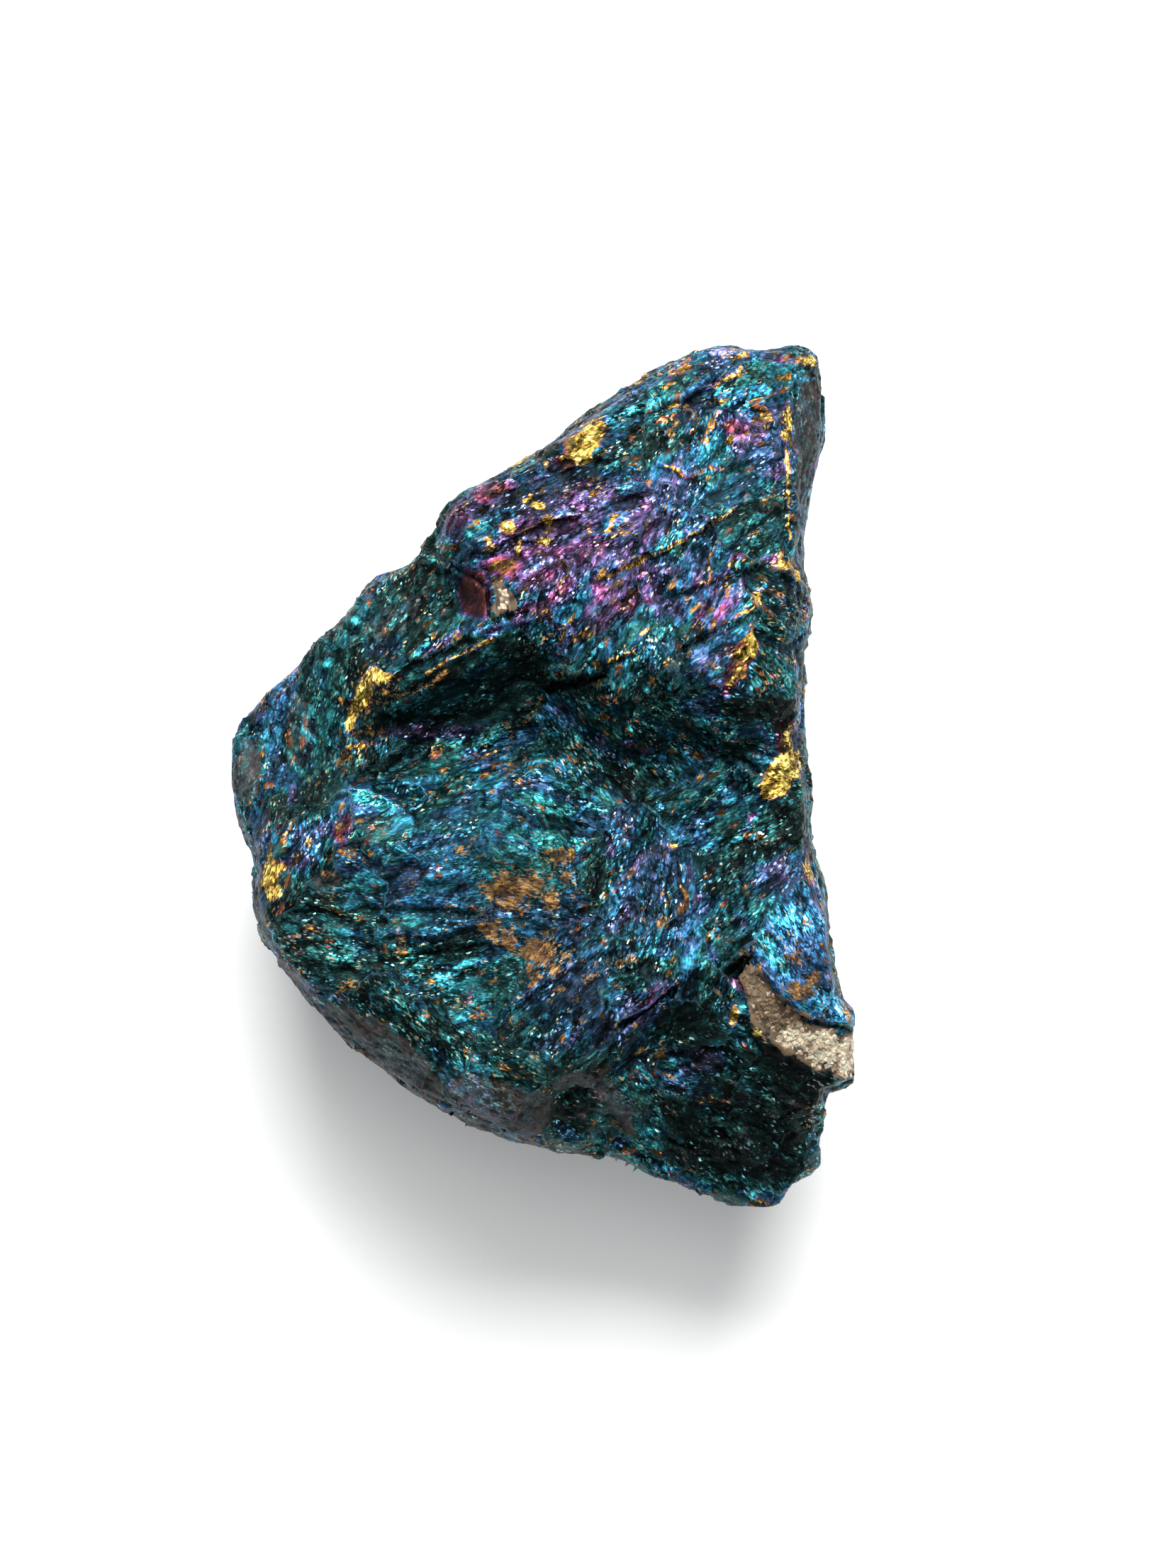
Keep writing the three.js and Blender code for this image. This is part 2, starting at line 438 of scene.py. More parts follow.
@dataclass(frozen=True)
class Line:
    """A thin line of brass or rust along a ledge, through points seen from above."""

    tarnish: Tarnish
    points: Points
    width: float


@dataclass(frozen=True)
class Ledge:
    """A low step: the ore to the left of the walk through the points stands higher, and settles again."""

    points: Points
    height: float
    reach: float = 1.4


@dataclass(frozen=True)
class Crack:
    """A narrow opening along the walk through the points."""

    points: Points
    depth: float
    width: float


@dataclass(frozen=True)
class Pull:
    """A corner of the outline that is drawn out to a sharper point.

    Attributes:
        x, y: Where it lies.
        out_x, out_y: How far it goes.
        reach: How far round it the skin follows.
    """

    x: float
    y: float
    out_x: float
    out_y: float
    reach: float


@dataclass(frozen=True)
class Grain:
    """A domain of the ore whose scales and striations run at one angle, in degrees from +X."""

    x: float
    y: float
    turn: float


GRAINS = tuple(
    Grain(*row)
    for row in (
        (8, 19, 30), (3, 17, 24), (8, 15.5, 66), (10.5, 14, 34), (2, 13, 27), (-2.5, 12, 32),
        (6.6, 10.4, 60), (10, 11.4, 38), (3, 8, 56), (8.5, 8.5, 55), (11.5, 8, -20), (12, 5, -52),
        (9, 5.4, 40), (4.6, 6, 70), (-8, 9, 60), (-6, 7.6, 50), (-11, 4, 72), (-13.4, 1, 78), (-4, 4, 28),
        (-3, 2, 18), (9.5, 2.8, -10), (6, 2, -36), (3, 1.4, -46), (-5, -2, 20), (-5, -5, 8),
        (-10.5, -7, -8), (-4, -9, 5), (0, -6, -5), (0.6, -1.8, -18), (1.2, -9.6, 45), (2.4, -11.8, 52),
        (3.4, -5, 62), (6, -4.4, 82), (7.8, -2, 28), (9.6, -6.4, 50), (6, -9, 66), (4.6, -11.6, 40),
        (12, -8, -60), (14, -11, -32), (8, -14.6, -22), (6, -17, -42), (10, -18, -38), (12, -15.6, -28),
        (-7.5, -13, -40), (0, -16, -22), (-13, -4, 70), (12.9, 15, 88),
    )
)

LEDGES = (
    Ledge(((2.6, 9.4), (6.0, 10.9), (7.8, 11.8), (9.9, 13.1)), 0.34),
    Ledge(((0.6, 8.2), (3.4, 9.0), (5.6, 9.6)), 0.16),
    Ledge(((-8.9, 3.8), (-6.4, 5.2), (-3.0, 6.9), (-0.4, 7.4)), 0.3),
    Ledge(((-7.6, 3.8), (-5.7, 4.7), (-4.2, 5.6), (-2.2, 6.6)), 0.22, 1.0),
    Ledge(((6.4, 8.8), (8.6, 9.5), (10.8, 10.2)), 0.28),
    Ledge(((6.9, 6.4), (8.6, 7.1), (10.2, 7.8)), 0.24),
    Ledge(((4.4, 17.4), (6.6, 18.0), (8.8, 19.1), (9.9, 19.8)), 0.32),
    Ledge(((1.2, 16.9), (3.6, 17.4), (5.4, 18.2)), 0.22),
    Ledge(((8.6, 17.4), (10.0, 18.2), (11.2, 18.6)), 0.26),
    Ledge(((-3.6, 13.2), (-1.6, 13.7), (1.6, 14.8)), 0.2),
    Ledge(((-4.2, 10.2), (-1.2, 11.5), (1.6, 12.4), (4.6, 13.4)), 0.22),
    Ledge(((5.9, 14.9), (6.9, 14.25), (8.8, 14.8), (11.4, 15.4)), 0.3),
    Ledge(((2.8, 5.4), (4.4, 5.9), (5.0, 6.9)), 0.22, 1.0),
    Ledge(((-9.4, -6.4), (-6.6, -6.2), (-3.2, -6.6)), 0.22, 1.2),
    Ledge(((-7.0, -7.7), (-4.8, -7.9), (-2.8, -7.2)), 0.3, 1.0),
    Ledge(((-9.2, -0.6), (-7.2, -1.5), (-5.2, -1.3)), 0.2, 1.0),
    Ledge(((-0.8, -2.8), (0.8, -3.4), (1.5, -2.6)), 0.25, 0.9),
    Ledge(((3.8, -11.9), (5.0, -11.1), (6.3, -10.2)), 0.4, 1.0),
    Ledge(((6.0, -13.5), (7.4, -13.2), (8.8, -13.2)), 0.22, 1.0),
    Ledge(((10.5, -9.4), (11.5, -10.7), (12.8, -11.8), (15.4, -12.4)), 0.5, 1.6),
    Ledge(((9.3, -11.5), (10.9, -12.9), (12.6, -14.1), (15.1, -15.2)), 0.5, 1.2),
    Ledge(((6.0, -15.6), (8.6, -16.2), (12.4, -16.6)), 0.25, 1.2),
    Ledge(((5.6, -17.6), (8.8, -18.6), (12.0, -19.0)), 0.22, 1.2),
)

CRACKS = (
    Crack(((0.3, 4.1), (1.5, 4.5), (3.1, 4.75)), 0.9, 0.22),
    Crack(((-7.9, -0.5), (-7.0, -0.7), (-6.0, -0.6)), 0.5, 0.16),
    Crack(((9.0, -9.6), (9.6, -9.3), (9.95, -8.8)), 0.9, 0.2),
    Crack(((12.4, -11.6), (13.8, -12.1), (15.4, -12.5)), 0.5, 0.14),
    Crack(((3.8, -12.0), (5.0, -11.3), (6.3, -10.4)), 0.5, 0.12),
    Crack(((4.4, -3.4), (5.2, -2.6)), 0.3, 0.1),
    Crack(((6.9, 6.2), (7.8, 6.5)), 0.4, 0.14),
    Crack(((9.2, -3.6), (10.6, -3.2)), 0.4, 0.16),
    Crack(((-4.0, 9.9), (-3.2, 9.5), (-2.6, 8.9), (-2.5, 7.6)), 0.35, 0.1),
    Crack(((-2.3, 7.4), (-0.6, 7.8)), 0.3, 0.1),
)

PULLS = tuple(
    Pull(*row)
    for row in (
        (12.8, 20.2, 0.7, 0.35, 1.1), (12.6, -19.2, 0.7, -0.2, 1.3), (10.7, -20.8, 0.5, -0.6, 1.1),
        (-14.6, 1.6, -0.5, 0.3, 1.6), (-13.8, -5.8, -0.45, -0.2, 1.5), (14.9, -11.9, 0.35, 0.1, 0.7),
        (15.1, -14.6, 0.4, -0.35, 0.7), (13.9, -15.6, -0.3, 0.1, 0.6), (-4.4, 12.6, -0.3, 0.2, 0.8),
    )
)

FILMS = tuple(
    Patch(*row)
    for row in (
        # broad zones
        (T.BLUE, 4, 14.6, 17, 8.6, 27, 0.45), (T.CYAN, -3.6, -5.6, 15, 11, 0, 0.35, 0.85),
        (T.VIOLET, 2, 12, 11, 4.6, 24, 0.75), (T.PURPLE, 0.2, 10.6, 7, 3, 12, 0.5),
        (T.PURPLE, 4.6, 8.6, 8, 2.8, 16, 0.6), (T.VIOLET, 8.6, 8.2, 3.6, 3.4, 50, 0.6),
        (T.BLUE, 8, 20, 6, 2.4, 26, 0.55, 1.3), (T.AZURE, 3.6, 17.6, 5, 2, 24, 0.5, 1.3),
        (T.GREEN, 4.6, 15.4, 4.6, 2.2, 27, 0.4, 0.75), (T.CYAN, 8.6, 15.6, 4, 3, 60, 0.6, 1.1),
        (T.PURPLE, 10.6, 16.2, 3, 3.6, 40, 0.55), (T.GREEN, 10.4, 12, 3.6, 2.6, 34, 0.7, 0.8),
        (T.TEAL, 11, 7, 3.6, 5, 0, 0.8), (T.VIOLET, 7.6, 4.6, 4, 3, 30, 0.5, 0.7),
        (T.TEAL, -7.5, 7.6, 9, 5, 44, 0.5, 0.75), (T.AZURE, -12, 2, 3.4, 7, -14, 0.5, 0.9),
        (T.GREEN, -3.6, 4.2, 10, 4.4, 22, 0.95, 0.7), (T.AZURE, -4.6, -4, 11, 5.6, 12, 0.4, 0.8),
        (T.TEAL, -9.5, -8, 8, 5, -20, 0.8, 0.8), (T.TEAL, -2.6, -11.4, 9, 3, 0, 0.6, 0.9),
        (T.BLUE, 1.6, -8.4, 5, 5, 40, 0.5, 0.9), (T.AZURE, 3.8, -3, 4.6, 8.6, 0, 0.6, 0.75),
        (T.CYAN, 7.4, -6.4, 4.6, 6, 20, 0.5, 0.9), (T.TEAL, 7.6, -1.6, 5, 4.6, 0, 0.6, 0.8),
        (T.BLUE, 12.6, -8.8, 4.4, 5.8, 30, 0.95), (T.VIOLET, 4.4, -11.2, 4.4, 2.6, 40, 0.5, 0.8),
        (T.AZURE, 6.4, -14.2, 6, 2.2, -12, 0.6, 0.75), (T.GREEN, 9.6, -17.6, 9, 6, -30, 0.95, 0.55),
        (T.GREEN, 1, -15, 7, 3.6, -20, 0.8, 0.6), (T.GREEN, 12, -14.4, 5, 2.4, -24, 0.9, 0.5),
        (T.SMOOTH, -3.6, 4.2, 9.4, 4, 22, 0.8), (T.SMOOTH, -4.2, -4.6, 11, 6, 12, 0.55),
        (T.SMOOTH, -0.4, -9.6, 8, 4.4, 20, 0.45), (T.SMOOTH, 12.8, -8.9, 4, 5.4, 30, 0.95),
        # the north slab
        (T.EMBER, 1.2, 15.8, 2.2, 1.5, 30, 1, 0.9), (T.BLACK, 0.3, 15.6, 1.5, 0.8, 30, 1, 0.3),
        (T.ROSE, 11.5, 20.2, 1, 0.4, 10), (T.PURPLE, -3, 13.3, 3.6, 2.2, 30, 0.75, 1.1),
        (T.PURPLE, -4.2, 12, 2.4, 1.1, 66, 0.9, 1.1), (T.ROSE, -2.6, 13.7, 1.6, 0.9, 14, 1, 1.4),
        (T.ROSE, -2.2, 14.8, 1.1, 0.6, 38, 1, 1.4), (T.CYAN, -4, 14, 1, 0.5, 40, 0.7),
        (T.VIOLET, 2.6, 12.3, 4.6, 1.5, 27, 0.75, 1.1), (T.VIOLET, 4.8, 12.7, 1.8, 1.2, 27, 0.8, 1.2),
        (T.PURPLE, 1.5, 12.3, 1.2, 0.5, 20, 0.8), (T.VIOLET, -0.4, 11.6, 2.6, 1, 10, 0.7),
        (T.ROSE, -1.6, 9.9, 2.4, 0.9, -22, 0.95, 1.2), (T.PURPLE, -0.4, 9.6, 2, 1.2, 10, 0.8, 1.1),
        (T.ROSE, 2.5, 10.8, 1.3, 0.6, 20, 0.9, 1.1), (T.PURPLE, 1.6, 10.6, 2, 1.2, 27, 0.6),
        (T.ROSE, 2.8, 8.8, 0.9, 0.8, 30, 1, 1.3), (T.PURPLE, 4.4, 8.7, 1.9, 0.5, 30, 0.9, 1.2),
        (T.ROSE, 4.2, 8, 0.8, 0.45, 40, 0.9, 1.2), (T.ROSE, 5.1, 8.4, 0.4, 0.6, 20, 0.9, 1.2),
        (T.PURPLE, 3.2, 7.6, 2.2, 0.8, 40, 0.85, 0.6), (T.PURPLE, 6.4, 9.8, 0.6, 0.7, 60),
        (T.ROSE, 7, 10.6, 0.35, 0.8, -10, 0.8), (T.ROSE, 9.3, 10.3, 0.9, 0.4, 12, 0.95, 1.1),
        (T.PURPLE, 9.2, 8.6, 1.6, 0.8, 62, 0.9, 1.2), (T.ROSE, 8.6, 7.7, 1, 0.5, 50, 0.9, 1.1),
        (T.PURPLE, 7.5, 8, 1.2, 0.5, 80, 0.8), (T.ROSE, 9.2, 16.8, 0.8, 0.7, 40),
        (T.PURPLE, 10.2, 16.7, 1.3, 1, 40, 0.9, 1.1), (T.VIOLET, 11.2, 17.8, 0.6, 0.9, 0, 0.8),
        (T.PURPLE, 11.1, 14.7, 1.1, 0.7, 30, 0.9, 1.1), (T.SMOOTH, 8.3, 13.4, 0.9, 0.5, 20, 1, 0.4),
        (T.BLACK, 6.8, 16.1, 0.8, 0.4, 10), (T.BLUE, 7.8, 17.9, 2.2, 0.7, 24, 0.9, 0.55),
        (T.VIOLET, 8.6, 20.5, 1.5, 0.8, 60, 0.9, 1.7), (T.VIOLET, 7.4, 18.6, 1.8, 0.5, 34, 0.8, 1.5),
        (T.CYAN, 5, 17.8, 1.8, 0.6, 20, 0.95, 1.8), (T.CYAN, 3.9, 17, 1.3, 1, 20, 0.9, 1.7),
        (T.CYAN, 3, 17.7, 1.2, 0.45, 16, 0.9, 1.7), (T.CYAN, 8.1, 15.5, 2.2, 1.2, 68, 0.95, 1.7),
        (T.AZURE, 6.2, 15.3, 0.9, 0.4, 70, 0.9, 1.2), (T.TEAL, 9.6, 19, 1.8, 0.7, 24, 0.9, 1.1),
        (T.CYAN, 11.9, 19.3, 2.2, 1.1, -20, 1, 1.9), (T.CYAN, 9.2, 11.5, 1.2, 0.7, 30, 0.9, 1.5),
        (T.GREEN, 10.2, 12.4, 2.4, 1.6, 34, 0.7, 0.7), (T.GREEN, 4.6, 15.6, 2.8, 1.6, 27, 0.6, 0.8),
        (T.TEAL, 2.2, 14.8, 3, 0.8, 16, 0.6), (T.BLUE, -1.6, 13, 3.2, 1.3, 20, 0.6, 0.6),
        (T.CYAN, 11.3, 11.6, 0.8, 0.5, 80, 0.8, 1.2), (T.COAT, 12.8, 15.6, 8.2, 1.7, 88, 0.75),
        (T.EMBER, 13.4, 14.6, 2.4, 0.5, 84, 0.6, 0.6),
        # the east shoulder
        (T.ROSE, 11, 10.4, 0.9, 0.3, 10, 0.9, 1.2), (T.CYAN, 10.9, 9.3, 1, 0.6, 10, 0.9, 1.3),
        (T.CYAN, 8.5, 10, 1.5, 0.5, 40, 0.9, 1.3), (T.TEAL, 11.2, 7.2, 2.8, 2.2, -20, 0.8, 1.15),
        (T.CYAN, 12.1, 5.1, 1.5, 0.8, -60, 0.95, 1.6), (T.EMBER, 9.4, 5.2, 2.8, 0.9, 64, 1, 0.9),
        (T.BLACK, 11.6, 2.7, 2, 1.2, 60, 1, 0.3), (T.EMBER, 11.7, 2, 1.7, 1.3, 80, 1, 0.7),
        (T.VIOLET, 8, 4.2, 1.8, 0.9, 60, 0.5, 0.8), (T.BLACK, 10.2, 3.2, 4, 1.3, 6, 0.8, 0.5),
        (T.BLUE, 8.2, 3, 0.7, 0.3, 60, 0.9, 1.1),
        # the corner of quartz, the rim and the dark hollow under it
        (T.EMBER, -3.3, 8.7, 1.4, 2.3, 8, 1, 0.42), (T.SMOOTH, -3.3, 8.7, 1.4, 2.3, 8, 1),
        (T.PURPLE, -0.6, 8.1, 2.6, 0.5, 20, 1, 0.55), (T.PURPLE, 0.8, 9, 1.6, 0.7, 27, 0.9, 0.7),
        (T.CYAN, 1.2, 7.8, 1.6, 1, 30, 1, 1.6), (T.CYAN, -0.2, 7.1, 1, 0.5, -10, 1, 1.5),
        (T.VIOLET, -2.4, 7.2, 3.6, 0.55, 10, 0.9, 1.4), (T.ROSE, -4.8, 6.4, 2.4, 0.45, 27, 0.95, 1.3),
        (T.BLUE, -8.2, 6.1, 1.3, 1, 20, 1, 0.5), (T.AZURE, -7.2, 6.1, 1.2, 0.6, 66, 1, 1.5),
        (T.GREEN, -4, 4.2, 8, 2.6, 24, 0.9, 0.7), (T.PURPLE, -5.4, 2.2, 5.4, 0.8, 2, 0.85, 0.35),
        (T.GREEN, -1, 5.2, 3, 2.4, 24, 0.8, 0.7), (T.BLACK, 1.6, 4.4, 3, 0.8, 10, 0.9, 0.3),
        (T.AZURE, -3.4, 4.7, 1.7, 0.2, 42, 0.9, 1.3), (T.VIOLET, 1.2, 3, 1.4, 1.2, 40, 0.8, 1.3),
        (T.CYAN, 4, 5.2, 0.5, 1.2, 0, 0.8, 1.4), (T.CYAN, 3.6, 6.6, 1.6, 1.2, 60, 0.6, 1.2),
        (T.GREEN, 6.2, 4.2, 3, 1, -10, 0.7, 0.7),
        # the west shelf and its dull outer edge
        (T.CYAN, -10.8, 4.1, 1.5, 1.3, 40, 0.9, 1.3), (T.CYAN, -10.9, 2.8, 1.1, 0.6, 80, 0.9, 1.3),
        (T.CYAN, -13.6, 1.8, 2, 0.6, 74, 0.9, 1.4), (T.CYAN, -12.5, 0.8, 1.5, 0.4, 110, 0.8, 1.2),
        (T.COAT, -14.4, 0.2, 1.3, 3, 0), (T.COAT, -11.8, 2.2, 1.4, 4.2, 0, 0.5),
        (T.COAT, -7.2, 7.6, 3.4, 1.8, 45, 0.4), (T.CYAN, -4.5, 10.9, 0.9, 0.7, -40, 0.9, 1.3),
        (T.CYAN, -4.2, 7.8, 0.6, 0.5, 0, 0.8, 1.3), (T.CYAN, -14.3, -1.5, 0.7, 0.4, 60, 0.9, 1.4),
        (T.BLACK, -12, -1.4, 3.4, 1.6, -6, 0.7, 0.6), (T.CYAN, -12.6, -3.4, 1.8, 1.1, -26, 0.95, 1.5),
        (T.AZURE, -12.9, -2.8, 1.2, 0.7, -20, 0.9, 1.2), (T.CYAN, -10.8, -3.6, 1.4, 0.8, 0, 0.95, 1.5),
        (T.PURPLE, -9.6, -2.4, 1.4, 0.8, 62, 0.95, 1.1), (T.ROSE, -9.7, -3.2, 0.5, 0.5, 0, 1, 1.3),
        (T.PURPLE, -12.2, -0.9, 0.5, 0.9, 0, 0.8, 0.8),
        # the belly
        (T.TEAL, -8.1, -1.1, 2.4, 0.7, -16, 1, 3.4), (T.TEAL, 0.4, -3.1, 1.9, 1, -20, 1, 3.4),
        (T.TEAL, 0.4, -1.6, 2.4, 1.3, -18, 0.9, 0.9), (T.TEAL, 0.5, -1.4, 2.2, 0.5, -20, 1, 3.4),
        (T.TEAL, -5.9, -8.9, 1.4, 1.7, -10, 1, 3), (T.CYAN, -5, -9.9, 1.2, 0.8, 10, 1, 3),
        (T.BLUE, -5.4, -2.6, 5, 1.8, 14, 0.7, 0.85), (T.BLUE, -4.8, -5.4, 2.8, 1.9, 8, 0.85, 0.75),
        (T.AZURE, 0.5, -9.8, 4, 1.2, 30, 0.7, 1.1), (T.AZURE, -2.6, -6.8, 4.6, 1, 4, 0.5),
        (T.BLUE, 1.4, -7.4, 2, 2.2, 40, 0.6, 0.9), (T.GREEN, -11.4, -6.5, 3.4, 3.6, 0, 0.8, 0.75),
        (T.GREEN, -8.6, -8.6, 5, 1.6, -6, 0.6, 0.9), (T.BLACK, -4.3, -8.4, 2.4, 1.1, 8, 0.9, 0.45),
        (T.COAT, -10.4, -5.2, 1.4, 1.2, 0, 0.5), (T.CYAN, -7.8, -11.8, 0.9, 0.5, 10, 0.9, 1.5),
        (T.CYAN, -5.9, -11.8, 0.9, 0.4, 0, 0.9, 1.4), (T.GREEN, -5.6, -12.4, 6, 1.4, -10, 0.6, 0.7),
        # the valley, the bowl and the waist
        (T.VIOLET, 2.9, 1.7, 0.7, 0.7, -30, 0.95, 1.4), (T.PURPLE, 4.2, 1.7, 0.6, 0.5, 0, 0.95, 1.2),
        (T.PURPLE, 5, 1.3, 0.9, 0.3, 60, 0.9, 1.2), (T.AZURE, 6.1, 2, 1.8, 0.6, -36, 0.9, 1.4),
        (T.AZURE, 7.5, 0.4, 1.5, 0.9, -40, 0.8, 1.3), (T.SMOOTH, 3.5, 0.3, 1.5, 0.4, -36, 0.8, 0.5),
        (T.BLACK, 9.4, 1.3, 2.2, 0.9, 14, 0.8, 0.4), (T.AZURE, 3.2, -1.5, 1.8, 1, -30, 0.8, 1.1),
        (T.AZURE, 4.3, -2.6, 0.9, 0.8, 60, 0.8, 1.3), (T.BLACK, 4.2, -0.4, 2.4, 1, -40, 0.7, 0.5),
        (T.BLACK, 2.6, -4.6, 1.2, 3.4, 0, 0.7, 0.5), (T.CYAN, 5.6, -5, 0.6, 2.2, 8, 0.9, 1.6),
        (T.CYAN, 7, -2, 1.6, 2.2, 0, 0.8, 1.2), (T.CYAN, 8, -3, 1.4, 0.7, -10, 0.8, 1.3),
        (T.SMOOTH, 7.1, -4, 1.6, 0.6, -30, 0.8, 0.45), (T.BLUE, 7.2, -5, 0.6, 1.6, 10, 0.9, 1.1),
        (T.BLUE, 6.9, -6.5, 1.3, 1, 40, 0.8, 1.2), (T.VIOLET, 7.6, -5.9, 0.6, 0.5, 0, 0.9, 1.2),
        (T.VIOLET, 9.6, -6.9, 0.7, 0.9, 0, 0.8, 1.1), (T.ROSE, 10.2, -2.1, 0.7, 0.35, 50, 0.95),
        (T.PURPLE, 9.8, -2.6, 0.8, 0.3, 20, 0.9, 0.9), (T.BLACK, 12, -2, 1.8, 3.2, 0, 0.8, 0.45),
        (T.BLACK, 10.2, -3.9, 3, 0.9, 20, 0.8, 0.45), (T.CYAN, 10.3, -6.2, 2.8, 1.7, -20, 0.85, 1.2),
        (T.CYAN, 12.9, -5.5, 1.1, 0.6, -30, 0.9, 1.3), (T.VIOLET, 5, -12, 1.2, 0.5, 16, 0.9, 1.2),
        (T.VIOLET, 5.6, -10.4, 1.2, 0.6, 60, 0.8, 1.2), (T.CYAN, 7.4, -8.9, 1.2, 0.7, -20, 0.8, 1.4),
        (T.VIOLET, 8.3, -8.6, 0.6, 1.2, 40, 0.9, 1.2), (T.BLACK, 4.6, -9.6, 2.6, 1.2, 30, 0.6, 0.6),
        (T.TEAL, 3.8, -7.7, 2.2, 0.7, 14, 0.8, 0.8),
        # the blue plate, the vein and the tail
        (T.AZURE, 12.4, -7.3, 2.9, 2.2, 20, 1, 2.6), (T.BLUE, 12.6, -9.2, 3.4, 2.8, -60, 0.95, 1.9),
        (T.AZURE, 14, -11, 2.6, 1.2, -30, 1, 2.4), (T.CYAN, 11, -8.4, 2.6, 0.7, -58, 0.95, 2.4),
        (T.BLACK, 9.6, -9.2, 0.9, 0.7, 40, 1, 0.3), (T.ROSE, 9.4, -10, 0.8, 0.5, -60),
        (T.CYAN, 9.6, -12.5, 0.9, 0.6, -30, 0.9, 1.2), (T.SMOOTH, 7.3, -12, 2.4, 2.2, 0, 0.7, 0.5),
        (T.GREEN, 7.3, -12, 2.8, 2.4, 0, 0.95, 0.55), (T.BLUE, 8.4, -13.5, 2.6, 0.9, -6, 0.9, 0.6),
        (T.CYAN, 6.5, -14, 1.2, 0.6, 10, 0.9, 1.4), (T.AZURE, 4.6, -13.4, 1.6, 0.9, 0, 0.8, 1.1),
        (T.BLUE, 6.9, -15, 2.8, 0.9, -18, 0.85), (T.COAT, 12, -15.7, 1.6, 0.5, -20, 0.8),
        (T.GREEN, 11.5, -14.6, 5.6, 1.8, -24, 0.9, 0.6), (T.GREEN, 9.5, -18, 7, 4.4, -30, 0.9, 0.6),
        (T.COAT, 3.6, -16, 1, 4.6, 26, 0.8), (T.COAT, 1.6, -14.9, 2.4, 1.4, 0, 0.7),
        (T.GREEN, 1.8, -16.2, 3.2, 1.8, -20, 0.8, 0.7), (T.COAT, -7.6, -13.4, 8, 2.6, -38),
        (T.COAT, -1.6, -16, 7, 2.4, -18, 0.85), (T.CYAN, 2.6, -16.7, 0.8, 0.5, -20, 0.8, 1.3),
    )
)

